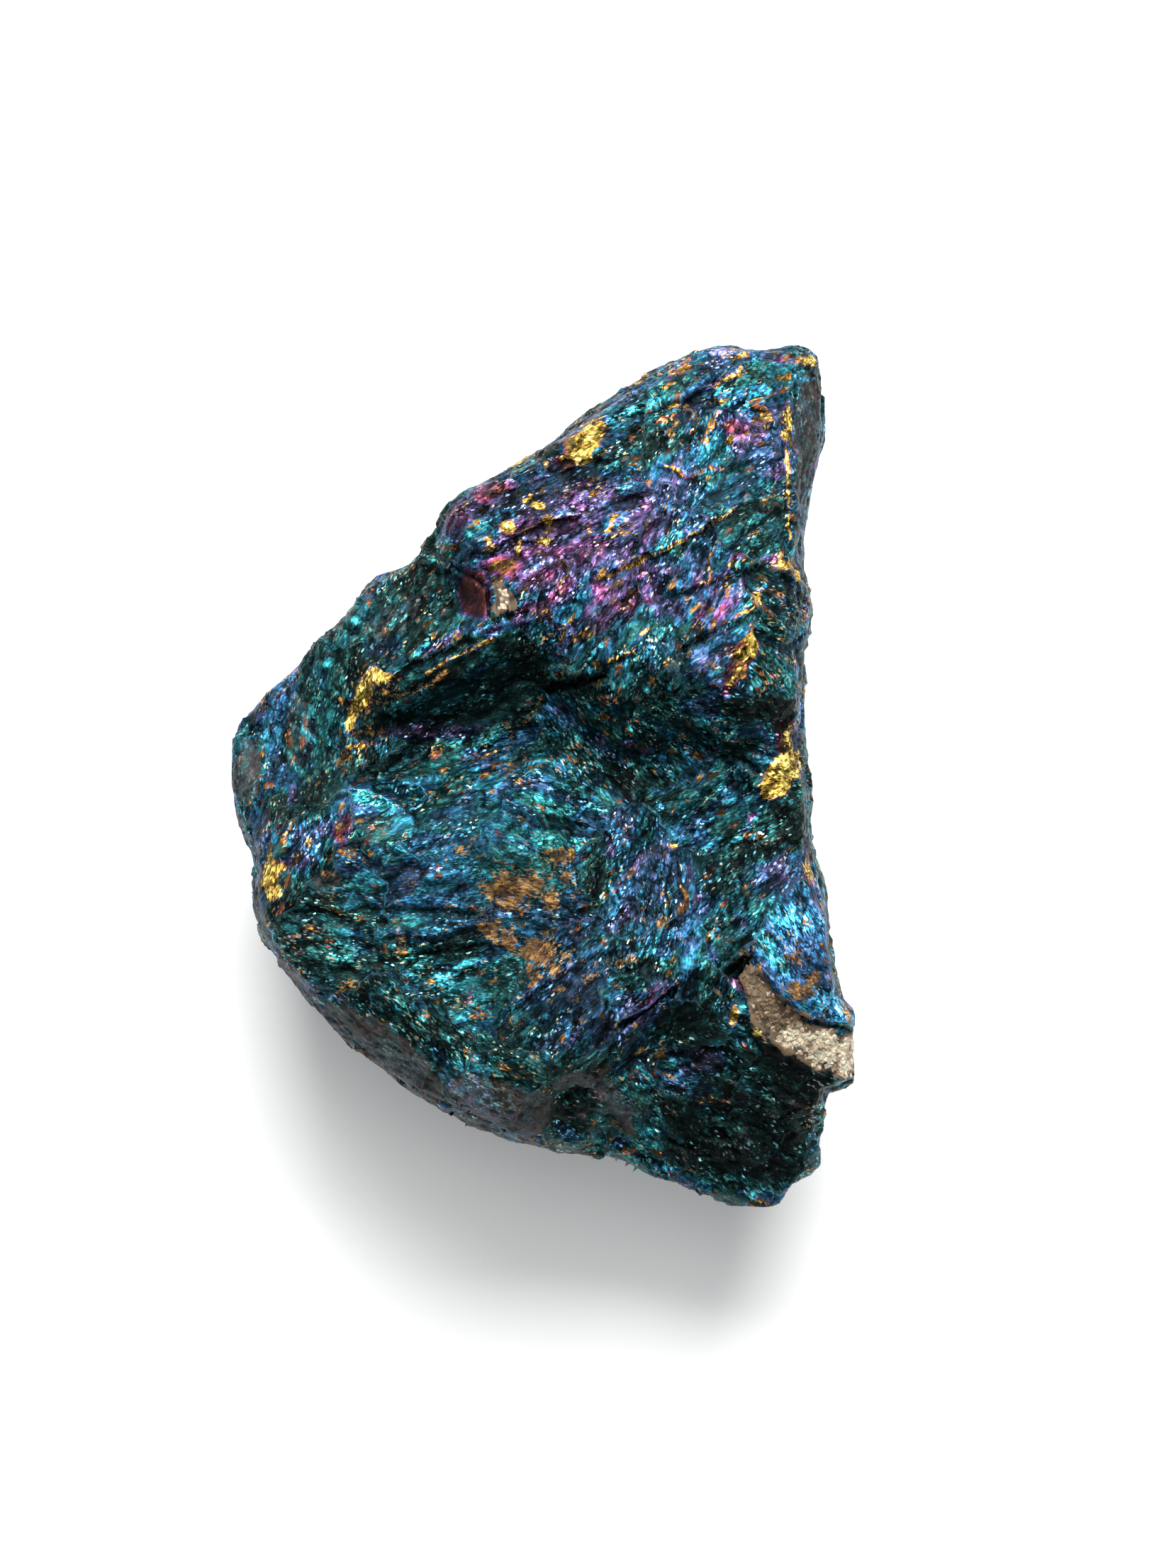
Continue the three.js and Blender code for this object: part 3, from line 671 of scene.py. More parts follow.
FLECKS = tuple(
    Patch(tarnish, *row)
    for tarnish, rows in {
        T.BRASS: (
            # the north slab
            (2.2, 16.1, 2.4, 1.2, 60, 1), (-1, 15.4, 1.8, 0.5, 18), (4.9, 19.6, 1.6, 0.4, 34),
            (6.7, 19.6, 1.2, 0.45, 26), (9.7, 20.4, 0.8, 0.4, 20), (12.7, 20.2, 1.6, 0.6, 10),
            (6.4, 17.9, 1, 0.3, 20), (6.2, 16.5, 0.35, 0.45, 70), (10.8, 17.5, 0.6, 1.1, 5),
            (11.7, 17, 2.2, 0.45, 84), (-0.7, 13.3, 0.5, 0.4, 40), (-0.2, 13, 0.4, 0.4, 0),
            (-1.6, 11.8, 0.9, 0.55, 10), (-1.2, 10.8, 0.4, 0.8, 5), (0.2, 12.2, 0.6, 0.6, 0),
            (0, 11.2, 0.6, 0.55, 30), (-2.4, 11.2, 0.35, 0.3, 0), (2.3, 11.9, 0.55, 0.22, 70),
            (3.5, 12.3, 1, 0.28, 76), (3.3, 11.7, 0.4, 0.3, 20), (-2.6, 12.7, 0.4, 0.22, 30),
            (13.9, 13, 1.6, 0.35, 80, 0.7, 0.8),
            # the east shoulder
            (11.7, 10.2, 1.7, 0.45, 4), (12.4, 9.7, 0.8, 0.6, -30), (12.8, 8.4, 0.3, 1.8, 0),
            (10.4, 8.5, 0.7, 0.5, 40), (9.7, 7.7, 1.2, 0.3, 36), (9.9, 6.2, 1.8, 0.55, 72),
            (9.2, 4.8, 1.2, 0.35, 60), (12.2, 0.6, 2, 1.5, 20, 1, 1.3), (11.5, 0, 2.8, 1.5, 60, 1, 1.1),
            (11.8, 1.9, 1, 0.6, 80, 0.8, 0.7),
            # the corner of quartz, the rim and the dark hollow under it
            (0.1, 7.95, 0.8, 0.22, 14), (-2.6, 6.5, 0.8, 0.2, 24), (-7.9, 4.7, 1.9, 0.6, 2),
            (-8.7, 3.8, 1.9, 0.9, 56, 1, 1.1), (-9.3, 2.7, 1.5, 0.7, 60), (-8.9, 1.5, 1.2, 0.3, 5, 1, 1.3),
            (4.9, 6.8, 0.5, 0.3, 0),
            # the west shelf and its dull outer edge
            (-13.1, -4.9, 2.6, 1.1, 96), (-12.7, -4.4, 1, 0.7, 10),
            # the belly
            (-3.6, -10.5, 0.3, 0.8, 0, 0.8), (1.2, -3.8, 0.4, 0.3, 80, 1, 1.3),
            # the valley, the bowl and the waist
            (5.3, 0.3, 0.4, 0.3, 0), (6.2, -3.5, 0.6, 0.4, 0), (13, -4.5, 1.6, 0.45, 106),
            # the blue plate, the vein and the tail
            (9.2, -11.6, 0.5, 1, 0, 1, 0.9), (10.4, -12.4, 1.4, 0.5, -30, 0.8, 0.8),
            (8.2, -15.9, 1.9, 0.4, 6, 0.75, 0.8),
        ),
        T.RUST: (
            # the north slab
            (7.3, 17.4, 0.9, 0.4, -48), (10.8, 17.6, 0.35, 0.7, 20), (1.2, 13.8, 0.5, 0.3),
            (11, 13.8, 0.4, 0.2, 30),
            # the east shoulder
            (8.3, 5.4, 1.1, 0.4, 42, 0.8), (12.7, 4.2, 0.5, 0.6, 0, 0.8),
            # the corner of quartz, the rim and the dark hollow under it
            (-8.4, 2.1, 1.1, 0.5, 10), (-8, 3.6, 1.5, 0.35, 40), (-9.6, 0.7, 0.7, 0.35, 20),
            # the west shelf and its dull outer edge
            (-8.4, 8.9, 0.5, 0.3, 30, 0.8),
            # the belly
            (-9.3, -3.7, 0.5, 0.5, 60), (-8.3, -3.9, 0.7, 0.3, 30), (-8, -2.2, 0.6, 0.35, 20),
            (-7.3, -2.7, 0.6, 0.2, 20), (-6.5, -3, 0.35, 0.3, 0), (-10.3, -5.1, 0.8, 0.3, -50),
            (-10.1, -5.8, 0.5, 0.4, 0), (-4.6, -0.7, 2.2, 0.22, 25, 0.6), (-3.8, -3.4, 0.9, 0.6, 20, 0.6),
            (-5.3, -4.5, 1.6, 0.2, 34, 0.6), (-9.3, -10.3, 0.7, 0.5, 0, 0.8), (-6.9, -7.4, 1.2, 0.4, 96),
            (-7.3, -8.4, 0.7, 0.3, 10), (-2.4, -7.4, 1.6, 0.9, -30), (-1.6, -8, 1.7, 0.9, -30),
            (-0.2, -8.5, 1.9, 1.6, 20), (-0.5, -9.4, 1.2, 0.8, 60), (0.6, -9.2, 0.9, 0.7, 20),
            (1.3, -8.6, 0.6, 0.4, 40), (2.5, -9.5, 0.7, 0.3, 52), (0.8, -10.1, 0.4, 0.35, 30),
            (-2.4, -9.8, 0.45, 0.3, 0), (-3, -9.2, 0.6, 0.35, 30), (-1.3, -5.3, 3.2, 1.6, 10),
            (0.4, -5.9, 0.9, 1.4, -6), (-2.4, -5.7, 0.6, 0.35, 0), (-1.5, -6.2, 1.6, 0.9, 0),
            (0.6, -4, 1.6, 0.7, 0), (1.3, -4.8, 0.5, 0.5, 0), (1.6, -5.7, 0.25, 0.25, 0),
            (-1.4, 0.6, 0.9, 0.5, 42, 1, 1.2), (0.2, -7.3, 0.4, 0.25, 0), (-1.2, -7.3, 0.5, 0.25, 0),
            (-3.9, 1, 0.3, 0.25, 0), (-3.1, 0.9, 0.3, 0.25, 0), (-3.9, -10.9, 0.5, 0.2, 20),
            (-1.3, -11.7, 0.4, 0.35, 0), (-2.9, -11.3, 0.7, 0.3, 30),
            # the valley, the bowl and the waist
            (4, -2.9, 0.25, 0.6, 0), (5.7, -7, 0.9, 0.45, 10), (3.8, -8.9, 1.4, 0.35, 8, 0.8),
            (8.7, -7.5, 1.1, 0.4, -56, 0.6, 0.7),
            # the blue plate, the vein and the tail
            (12, -8.8, 1, 0.5, -10, 1), (13.1, -9.8, 1.1, 0.9, 0, 1, 0.9),
            (12.3, -10.5, 1.2, 0.9, 10, 1, 0.8), (13.7, -11.2, 0.5, 0.5, 30), (10.1, -8.6, 0.6, 0.4, 40),
            (5.7, -13.5, 0.7, 0.5, -20), (-9.7, -12.3, 0.4, 1, 0, 0.8), (-0.1, -16.1, 0.5, 0.25, 0, 0.8),
        ),
        T.QUARTZ: (
            # the corner of quartz, the rim and the dark hollow under it
            (-1.7, 8.5, 1.4, 0.9, -32), (-2.1, 8.2, 0.85, 1.1, 0), (-2.1, 8.9, 0.85, 0.75, 0),
            # the belly
            (-10.5, -9.1, 0.6, 0.5, 0, 0.7),
            # the blue plate, the vein and the tail
            (10.2, -10, 1.9, 1.2, -65), (10.8, -11.2, 2.5, 1.9, -58), (12, -12.3, 2.8, 2.1, -40),
            (13.4, -13.1, 2.9, 2.2, -25), (14.8, -13.6, 2.4, 2.3, -12), (8.4, -10.4, 1.2, 0.4, -48, 0.8),
            (12.6, -18.6, 0.7, 0.6, 0, 0.6), (11.7, -20.2, 0.9, 0.5, 10, 0.6),
        ),
    }.items()
    for row in rows
)

LINES = (
    Line(T.BRASS, ((2.6, 9.4), (4.4, 10.1), (6.0, 10.9), (7.0, 11.3)), 0.17),
    Line(T.BRASS, ((7.0, 11.4), (8.2, 12.1), (9.6, 13.0)), 0.16),
    Line(T.BRASS, ((7.6, 9.1), (8.2, 9.3), (9.2, 9.65)), 0.13),
    Line(T.BRASS, ((5.9, 14.9), (6.5, 14.65), (6.9, 14.3)), 0.14),
    Line(T.BRASS, ((7.2, 14.4), (8.0, 14.75), (8.8, 14.8)), 0.13),
    Line(T.BRASS, ((8.0, 18.7), (8.9, 19.1), (9.6, 19.7)), 0.16),
    Line(T.BRASS, ((10.0, 18.0), (11.3, 18.5)), 0.14),
    Line(T.BRASS, ((11.9, 11.4), (11.8, 13.4), (11.8, 15.8)), 0.16),
    Line(T.BRASS, ((0.4, 16.6), (1.6, 17.0), (3.2, 17.3)), 0.14),
    Line(T.RUST, ((-8.4, 3.7), (-6.8, 3.9), (-5.4, 4.4), (-4.6, 5.1)), 0.16),
    Line(T.BRASS, ((-5.6, 4.9), (-4.4, 5.6), (-3.2, 6.2), (-2.3, 6.6)), 0.18),
    Line(T.BRASS, ((0.0, 3.8), (-0.5, 3.1), (-0.9, 2.6)), 0.14),
    Line(T.RUST, ((-0.9, 2.6), (-1.5, 1.9)), 0.12),
    Line(T.BRASS, ((3.0, 5.4), (3.7, 5.7), (4.4, 5.9)), 0.14),
)


@dataclass(frozen=True)
class Layering:
    """The cells that the ore splits into, by their size in millimetres along, across and down.

    Attributes:
        block: The size of the broken faces of the underside.
        slab, plate, scale: The sizes, from the largest to the smallest that are shaped.
        fray: How far, in cells, the borders wander.
        waves: How many times the borders wander over the width of a cell.
    """

    block: Triple = (9.0, 6.0, 7.0)
    slab: Triple = (4.6, 2.3, 3.0)
    plate: Triple = (1.8, 0.85, 1.2)
    scale: Triple = (0.62, 0.28, 0.42)
    fray: float = 0.45
    waves: float = 1.1

    def split(self, graph: Graph, flow: Signal, size: Triple) -> tuple[Signal, Signal]:
        """Splits the ore into cells of one size.

        Args:
            graph: The shader or geometry tree.
            flow: Places along the grain.
            size: The size of the cells.

        Returns:
            The place in units of cells, and the cell at that place.
        """
        ragged = graph.noise(flow, self.waves / size[1], 3.0, 0.6).of("Color") - MIDDLE
        place = flow / size + ragged * self.fray
        return place, graph.cells(place)


# --------------------------------------------------------------------------- fields over the skin
# Large odd numbers that mix the lattice's corners and the seed into even chance, and a shift of the
# lattice for each seed.
HASH_AXES = (73856093, 19349663, 83492791)
HASH_SEED = 2654435761
HASH_MIX = 1274126177
HASH_TOP = 65535
SEED_SHIFT = (7.31, -3.17, 1.93)


def wander(points: np.ndarray, length: float, seed: int) -> np.ndarray:
    """Smooth noise over points in space, from random values at the corners of a lattice.

    Args:
        points: Places, one per row.
        length: The distance over which the noise changes.
        seed: Picks the pattern.

    Returns:
        One value per place, between -1 and 1.
    """
    place = points / length + seed * np.array(SEED_SHIFT)
    corner = np.floor(place).astype(np.int64)
    eased = ease(place - corner, 0, 1)
    total = np.zeros(len(points))
    for step in range(8):
        offset = np.array([step & 1, (step >> 1) & 1, step >> 2])
        mixed = np.bitwise_xor.reduce((corner + offset) * np.array(HASH_AXES), axis=1) ^ (seed * HASH_SEED)
        mixed = (mixed ^ (mixed >> 13)) * HASH_MIX
        value = ((mixed ^ (mixed >> 16)) & HASH_TOP) / (HASH_TOP / 2) - 1
        share = np.where(offset == 1, eased, 1 - eased).prod(axis=1)
        total += value * share
    return total


@dataclass(frozen=True)
class Waves:
    """A layer of smooth noise.

    Attributes:
        length: The distance over which it changes.
        seed: Picks its pattern.
        amount: How far it goes up and down.
    """

    length: float
    seed: int
    amount: float

    def over(self, points: np.ndarray) -> np.ndarray:
        """Returns the noise at each of the points."""
        return self.amount * wander(points, self.length, self.seed)


def summed(points: np.ndarray, layers: tuple[Waves, ...]) -> np.ndarray:
    """Returns the sum of layers of noise at each of the points."""
    return sum(layer.over(points) for layer in layers)


def frayed(points: np.ndarray, layers: tuple[Waves, ...]) -> np.ndarray:
    """Shifts places about, as seen from above, so that what is laid over them gets ragged edges.

    Args:
        points: Places, one per row.
        layers: The noise along X; that along Y has the same sizes and the next seed.

    Returns:
        The shifted X and Y.
    """
    along_y = tuple(Waves(layer.length, layer.seed + 1, layer.amount) for layer in layers)
    return points[:, :2] + np.stack([summed(points, layers), summed(points, along_y)], axis=1)


def ease(values: np.ndarray, low: float, high: float) -> np.ndarray:
    """Returns 0 to 1 smoothly as the values go from low to high."""
    part = np.clip((values - low) / (high - low), 0, 1)
    return part * part * (3 - 2 * part)


def along_walk(plan: np.ndarray, points: Points) -> tuple[np.ndarray, np.ndarray]:
    """Measures places seen from above against a walk through points.

    Args:
        plan: X and Y of the places.
        points: The corners of the walk.

    Returns:
        The distance to the walk, positive to its left, and how far beyond its ends the place lies.
    """
    best = np.full(len(plan), np.inf)
    signed = np.zeros(len(plan))
    past = np.zeros(len(plan))
    for index, (start, end) in enumerate(zip(points, points[1:])):
        run = np.array(end) - np.array(start)
        squared = float(run @ run)
        raw = ((plan - np.array(start)) @ run) / squared
        offset = plan - np.array(start) - np.clip(raw, 0, 1)[:, None] * run
        distance = np.hypot(offset[:, 0], offset[:, 1])
        side = np.sign(run[0] * offset[:, 1] - run[1] * offset[:, 0])
        first, last = index == 0, index == len(points) - 2
        over = np.maximum(-raw if first else 0.0, raw - 1 if last else 0.0) * math.sqrt(squared)
        nearer = distance < best
        best = np.where(nearer, distance, best)
        signed = np.where(nearer, distance * side, signed)
        past = np.where(nearer, np.maximum(over, 0), past)
    return signed, past


# --------------------------------------------------------------------------- the skin
@dataclass
class OreSkin:
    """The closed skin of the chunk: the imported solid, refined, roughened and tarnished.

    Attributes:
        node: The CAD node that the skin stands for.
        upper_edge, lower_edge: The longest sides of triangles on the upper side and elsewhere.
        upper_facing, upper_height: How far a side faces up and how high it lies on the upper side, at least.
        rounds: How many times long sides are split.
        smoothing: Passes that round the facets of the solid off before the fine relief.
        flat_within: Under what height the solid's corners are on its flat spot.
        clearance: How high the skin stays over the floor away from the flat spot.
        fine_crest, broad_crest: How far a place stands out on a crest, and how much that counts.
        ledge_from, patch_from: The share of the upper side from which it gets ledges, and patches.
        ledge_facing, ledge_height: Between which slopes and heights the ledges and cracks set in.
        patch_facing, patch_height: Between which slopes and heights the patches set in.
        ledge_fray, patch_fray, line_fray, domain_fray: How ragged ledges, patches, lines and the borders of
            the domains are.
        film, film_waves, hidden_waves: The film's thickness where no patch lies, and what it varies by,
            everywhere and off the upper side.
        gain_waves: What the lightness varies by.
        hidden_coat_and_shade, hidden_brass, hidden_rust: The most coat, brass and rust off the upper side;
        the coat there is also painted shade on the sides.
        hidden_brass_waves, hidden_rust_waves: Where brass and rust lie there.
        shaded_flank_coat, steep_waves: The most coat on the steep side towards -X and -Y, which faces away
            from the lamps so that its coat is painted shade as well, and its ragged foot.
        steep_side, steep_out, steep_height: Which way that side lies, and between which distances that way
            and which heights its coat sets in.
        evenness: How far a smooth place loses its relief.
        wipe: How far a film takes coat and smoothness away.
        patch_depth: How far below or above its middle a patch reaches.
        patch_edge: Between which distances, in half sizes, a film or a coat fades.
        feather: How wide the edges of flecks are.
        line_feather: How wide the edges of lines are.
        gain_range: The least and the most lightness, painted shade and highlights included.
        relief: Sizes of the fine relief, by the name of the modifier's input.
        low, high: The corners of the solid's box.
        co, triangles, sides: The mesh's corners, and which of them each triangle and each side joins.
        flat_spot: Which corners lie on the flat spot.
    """

    node: str = "peacock_ore"
    upper_edge: float = 0.215
    lower_edge: float = 0.5
    upper_facing: float = 0.12
    upper_height: float = 9.0
    rounds: int = 5
    smoothing: int = 3
    flat_within: float = 1e-4
    clearance: float = 0.03
    fine_crest: tuple[float, float] = (0.03, 0.35)
    broad_crest: tuple[float, float] = (0.012, 0.25)
    ledge_from: float = 0.01
    patch_from: float = 0.02
    ledge_facing: tuple[float, float] = (0.1, 0.5)
    ledge_height: tuple[float, float] = (8.0, 11.0)
    patch_facing: tuple[float, float] = (-0.1, 0.2)
    patch_height: tuple[float, float] = (7.5, 10.0)
    ledge_fray: tuple[Waves, ...] = (Waves(0.8, 31, 0.16), Waves(0.35, 33, 0.07))
    patch_fray: tuple[Waves, ...] = (Waves(0.9, 51, 0.22), Waves(0.4, 53, 0.12))
    line_fray: tuple[Waves, ...] = (Waves(0.6, 61, 0.1),)
    domain_fray: tuple[Waves, ...] = (Waves(1.3, 71, 0.9), Waves(0.45, 73, 0.35))
    film: float = 0.69
    film_waves: tuple[Waves, ...] = (Waves(3.1, 41, 0.13), Waves(1.2, 42, 0.10))
    hidden_waves: tuple[Waves, ...] = (Waves(5.2, 43, 0.10), Waves(2.0, 44, 0.10))
    gain_waves: tuple[Waves, ...] = (Waves(2.2, 45, 0.2), Waves(0.9, 46, 0.15))
    hidden_brass_waves: Waves = Waves(3.6, 47, 1.0)
    hidden_rust_waves: Waves = Waves(2.4, 48, 1.0)
    steep_waves: Waves = Waves(2.4, 49, 2.5)
    hidden_coat_and_shade: float = 0.42
    hidden_brass: float = 0.62
    hidden_rust: float = 0.6
    shaded_flank_coat: float = 0.72
    steep_side: tuple[float, float] = (-0.5, -0.85)
    steep_out: tuple[float, float] = (6.5, 10.0)
    steep_height: tuple[float, float] = (4.5, 8.5)
    evenness: float = 0.85
    wipe: float = 0.7
    patch_depth: float = 2.4
    patch_edge: tuple[float, float] = (0.75, 1.35)
    feather: float = 0.8
    line_feather: float = 0.5
    gain_range: tuple[float, float] = (0.15, 2.7)
    relief: dict[str, float] = field(
        default_factory=lambda: {
            "Block Tilt": 1.2,
            "Block Lift": 0.3,
            "Slab Tilt": 0.32,
            "Slab Lift": 0.2,
            "Plate Tilt": 0.2,
            "Plate Lift": 0.15,
            "Scale Tilt": 0.15,
            "Scale Lift": 0.07,
            "Grit": 0.03,
            "Ledge Height": 0.16,
            "Ledge Spacing": 1.15,
            "Quartz Lump": 0.42,
        }
    )
    low: np.ndarray = field(init=False)
    high: np.ndarray = field(init=False)
    co: np.ndarray = field(init=False)
    triangles: np.ndarray = field(init=False)
    sides: np.ndarray = field(init=False)
    flat_spot: np.ndarray = field(init=False)

    def build(self, source: bpy.types.Object, material: bpy.types.Material) -> bpy.types.Object:
        """Builds the skin.

        Args:
            source: The CAD node's object.
            material: Its finish.

        Returns:
            The finished piece at the origin.
        """
        mesh = self._refined(source)
        self._read(mesh)
        self.flat_spot = self.co[:, 2] < self.flat_within
        self._round_off()
        self._carve()
        self._write(mesh)
        self._spread(mesh)
        piece = put("peacock_ore_skin", mesh)
        piece.data = run_tree(piece, self._relief_tree(), self.relief, material)
        self._fit(piece.data)
        LOG.info("skin: %d triangles", len(piece.data.polygons))
        return piece

    def _refined(self, source: bpy.types.Object) -> bpy.types.Mesh:
        """Merges a copy of the solid's triangles and splits them until they are small enough.

        Args:
            source: The CAD node's object.

        Returns:
            The new mesh, in millimetres.
        """
        work = bmesh.new()
        work.from_mesh(source.data)
        bmesh.ops.remove_doubles(work, verts=work.verts, dist=MERGE_WITHIN_M)
        work.transform(Matrix.Scale(1 / MM, 4))
        corners = np.array([v.co for v in work.verts])
        self.low = corners.min(axis=0)
        self.high = corners.max(axis=0)
        for _ in range(self.rounds):
            work.normal_update()
            long_sides = [e for e in work.edges if e.calc_length() > self._limit(e)]
            if not long_sides:
                break
            bmesh.ops.subdivide_edges(work, edges=long_sides, cuts=1, use_grid_fill=True)
            split = [f for f in work.faces if len(f.verts) > 3]
            bmesh.ops.triangulate(work, faces=split, quad_method="SHORT_EDGE", ngon_method="BEAUTY")
        mesh = bpy.data.meshes.new("peacock_ore_skin")
        work.to_mesh(mesh)
        work.free()
        return mesh

    def _limit(self, edge: bmesh.types.BMEdge) -> float:
        """Finds how long a side may be.

        Args:
            edge: The side.

        Returns:
            Its longest length.
        """
        facing = (edge.verts[0].normal.z + edge.verts[1].normal.z) / 2
        height = (edge.verts[0].co.z + edge.verts[1].co.z) / 2
        upper = facing > self.upper_facing and height > self.upper_height
        return self.upper_edge if upper else self.lower_edge

    def _read(self, mesh: bpy.types.Mesh) -> None:
        """Reads a mesh into arrays.

        Args:
            mesh: The mesh, of triangles only.
        """
        self.co = np.empty((len(mesh.vertices), 3))
        self.triangles = np.empty((len(mesh.polygons), 3), dtype=np.int64)
        self.sides = np.empty((len(mesh.edges), 2), dtype=np.int64)
        mesh.vertices.foreach_get("co", self.co.reshape(-1))
        mesh.polygons.foreach_get("vertices", self.triangles.reshape(-1))
        mesh.edges.foreach_get("vertices", self.sides.reshape(-1))

    def _write(self, mesh: bpy.types.Mesh) -> None:
        """Writes the corners back to the mesh."""
        mesh.vertices.foreach_set("co", self.co.reshape(-1))
        mesh.update()

    def _normals(self) -> np.ndarray:
        """Works out the normals of the mesh.

        Returns:
            A unit vector for each corner.
        """
        a, b, c = (self.co[self.triangles[:, k]] for k in range(3))
        facing = np.cross(b - a, c - a)
        normals = np.zeros_like(self.co)
        for axis in range(3):
            for k in range(3):
                normals[:, axis] += np.bincount(self.triangles[:, k], facing[:, axis], len(self.co))
        return normals / np.maximum(np.linalg.norm(normals, axis=1, keepdims=True), 1e-12)

    def _eased(self, values: np.ndarray, passes: int = 1) -> np.ndarray:
        """Moves values at the corners half way to the mean of their neighbours.

        Args:
            values: One row or number for each corner.
            passes: How many times.

        Returns:
            The smoother values.
        """
        for _ in range(passes):
            values = 0.5 * values + 0.5 * self._averaged(values)
        return values

    def _averaged(self, values: np.ndarray) -> np.ndarray:
        """Averages values over the neighbours of each corner.

        Args:
            values: One row or number for each corner.

        Returns:
            The mean at each corner's neighbours.
        """
        if values.ndim == 2:
            return np.stack([self._averaged(column) for column in values.T], axis=1)
        count = len(self.co)
        first, second = self.sides.T
        share = np.bincount(first, minlength=count) + np.bincount(second, minlength=count)
        return (np.bincount(first, values[second], count) + np.bincount(second, values[first], count)) / share

    def _round_off(self) -> None:
        """Rounds the solid's facets off, away from the flat spot."""
        for _ in range(self.smoothing):
            self.co = np.where(self.flat_spot[:, None], self.co, self._eased(self.co))

    def _carve(self) -> None:
        """Draws corners out, raises the low ledges and opens the cracks of the upper side."""
        for pull in PULLS:
            distance = np.hypot(self.co[:, 0] - pull.x, self.co[:, 1] - pull.y)
            follow = np.exp(-((distance / pull.reach) ** 2)) * ease(self.co[:, 2], 4, 8)
            self.co[:, 0] += pull.out_x * follow
            self.co[:, 1] += pull.out_y * follow
        upper = ease(self._normals()[:, 2], *self.ledge_facing) * ease(self.co[:, 2], *self.ledge_height)
        chosen = np.nonzero(upper > self.ledge_from)[0]
        plan = frayed(self.co[chosen], self.ledge_fray)
        rise = np.zeros(len(chosen))
        for ledge in LEDGES:
            signed, past = along_walk(plan, ledge.points)
            stand = ease(signed, -0.1, 0.12) * np.exp(-np.maximum(signed, 0) / ledge.reach)
            rise += ledge.height * stand * np.exp(-((past / 0.5) ** 2))
        for crack in CRACKS:
            signed, past = along_walk(plan, crack.points)
            rise -= crack.depth * np.exp(-((signed / crack.width) ** 2) - (past / 0.2) ** 2)
        self.co[chosen, 2] += rise * upper[chosen]

    def _spread(self, mesh: bpy.types.Mesh) -> None:
        """Spreads the finishes over the skin and stores them as attributes of its corners.

        Args:
            mesh: The mesh that gets the attributes.
        """
        co, normals = self.co, self._normals()
        upper = ease(normals[:, 2], *self.patch_facing) * ease(co[:, 2], *self.patch_height)
        film = self.film + summed(co, self.film_waves) + (1 - upper) * summed(co, self.hidden_waves)
        # Random tone, to which the patches add painted shade and painted highlights.
        gain = 1 + summed(co, self.gain_waves)
        masks = {tarnish: np.zeros(len(co)) for tarnish in FLECK_KINDS + DULL_KINDS}
        # The steep flank towards -X and -Y faces away from the lamps: its coat is painted shade as well as a
        # dull coat.
        outwards = self.steep_side[0] * co[:, 0] + self.steep_side[1] * co[:, 1]
        height = co[:, 2] + self.steep_waves.over(co)
        shaded_flank = (1 - ease(normals[:, 2], *self.ledge_facing)) * ease(outwards, *self.steep_out)
        shaded_flank *= ease(height, *self.steep_height)
        # Coat off the upper side, partly painted shade on the sides.
        coat = self.hidden_coat_and_shade * (1 - upper)
        masks[T.COAT] = coat + (self.shaded_flank_coat - coat) * shaded_flank
        masks[T.BRASS] = self.hidden_brass * (1 - upper) * ease(self.hidden_brass_waves.over(co), 0.35, 0.8)
        masks[T.RUST] = self.hidden_rust * (1 - upper) * ease(self.hidden_rust_waves.over(co), 0.4, 0.9)
        self._lay_patches(film, gain, masks, upper)
        self._lay_lines(masks, upper)
        rough = 1 - self.evenness * np.clip(masks[T.SMOOTH], 0, 1)
        self._store(mesh, "film", np.clip(film, 0, 1))
        self._store(mesh, "gain", np.clip(gain, *self.gain_range))
        self._store(mesh, "rough", np.where(self.flat_spot, 0, rough))
        for tarnish, values in masks.items():
            self._store(mesh, tarnish.name.lower(), np.clip(values, 0, 1))
        angle = self._angles()
        x, y, z = co.T
        along = x * np.cos(angle) + y * np.sin(angle)
        across = y * np.cos(angle) - x * np.sin(angle)
        self._store(mesh, "flow", np.stack([along, across, z], axis=1))

    def _lay_patches(
        self, film: np.ndarray, gain: np.ndarray, masks: dict[Tarnish, np.ndarray], upper: np.ndarray
    ) -> None:
        """Lays every patch on the upper side.

        Args:
            film: Film thickness at each corner, changed in place.
            gain: Lightness at each corner, its own tone with painted shade and highlights, changed in place.
            masks: Shares of the finishes that lie over the film, changed in place.
            upper: How much each corner belongs to the upper side.
        """
        chosen = np.nonzero(upper > self.patch_from)[0]
        place = self.co[chosen]
        plan = frayed(place, self.patch_fray)
        for patch in FILMS + FLECKS:
            turn = math.radians(patch.turn)
            offset = plan - np.array([patch.x, patch.y])
            along = offset @ np.array([math.cos(turn), math.sin(turn)])
            across = offset @ np.array([-math.sin(turn), math.cos(turn)])
            depth = (place[:, 2] - place[np.argmin((offset**2).sum(axis=1)), 2]) / self.patch_depth
            distance = np.sqrt((2 * along / patch.length) ** 2 + (2 * across / patch.width) ** 2 + depth**2)
            share = upper[chosen] * patch.weight
            soft = share * (1 - ease(distance, *self.patch_edge))
            # Painted shade where the patch is darker, painted highlight where it is lighter.
            gain[chosen] *= 1 + (patch.gain - 1) * soft
            if patch.tarnish in FLECK_KINDS:
                half = min(patch.length, patch.width) / 2
                edge = share * np.clip(0.5 + (1 - distance) * half / self.feather, 0, 1) * (distance <= 3)
                self._lay_over(masks[patch.tarnish], chosen, edge)
            elif patch.tarnish in DULL_KINDS:
                self._lay_over(masks[patch.tarnish], chosen, soft)
            else:
                film[chosen] += (patch.tarnish.value - film[chosen]) * soft
                for dull in DULL_KINDS:
                    masks[dull][chosen] *= 1 - self.wipe * soft

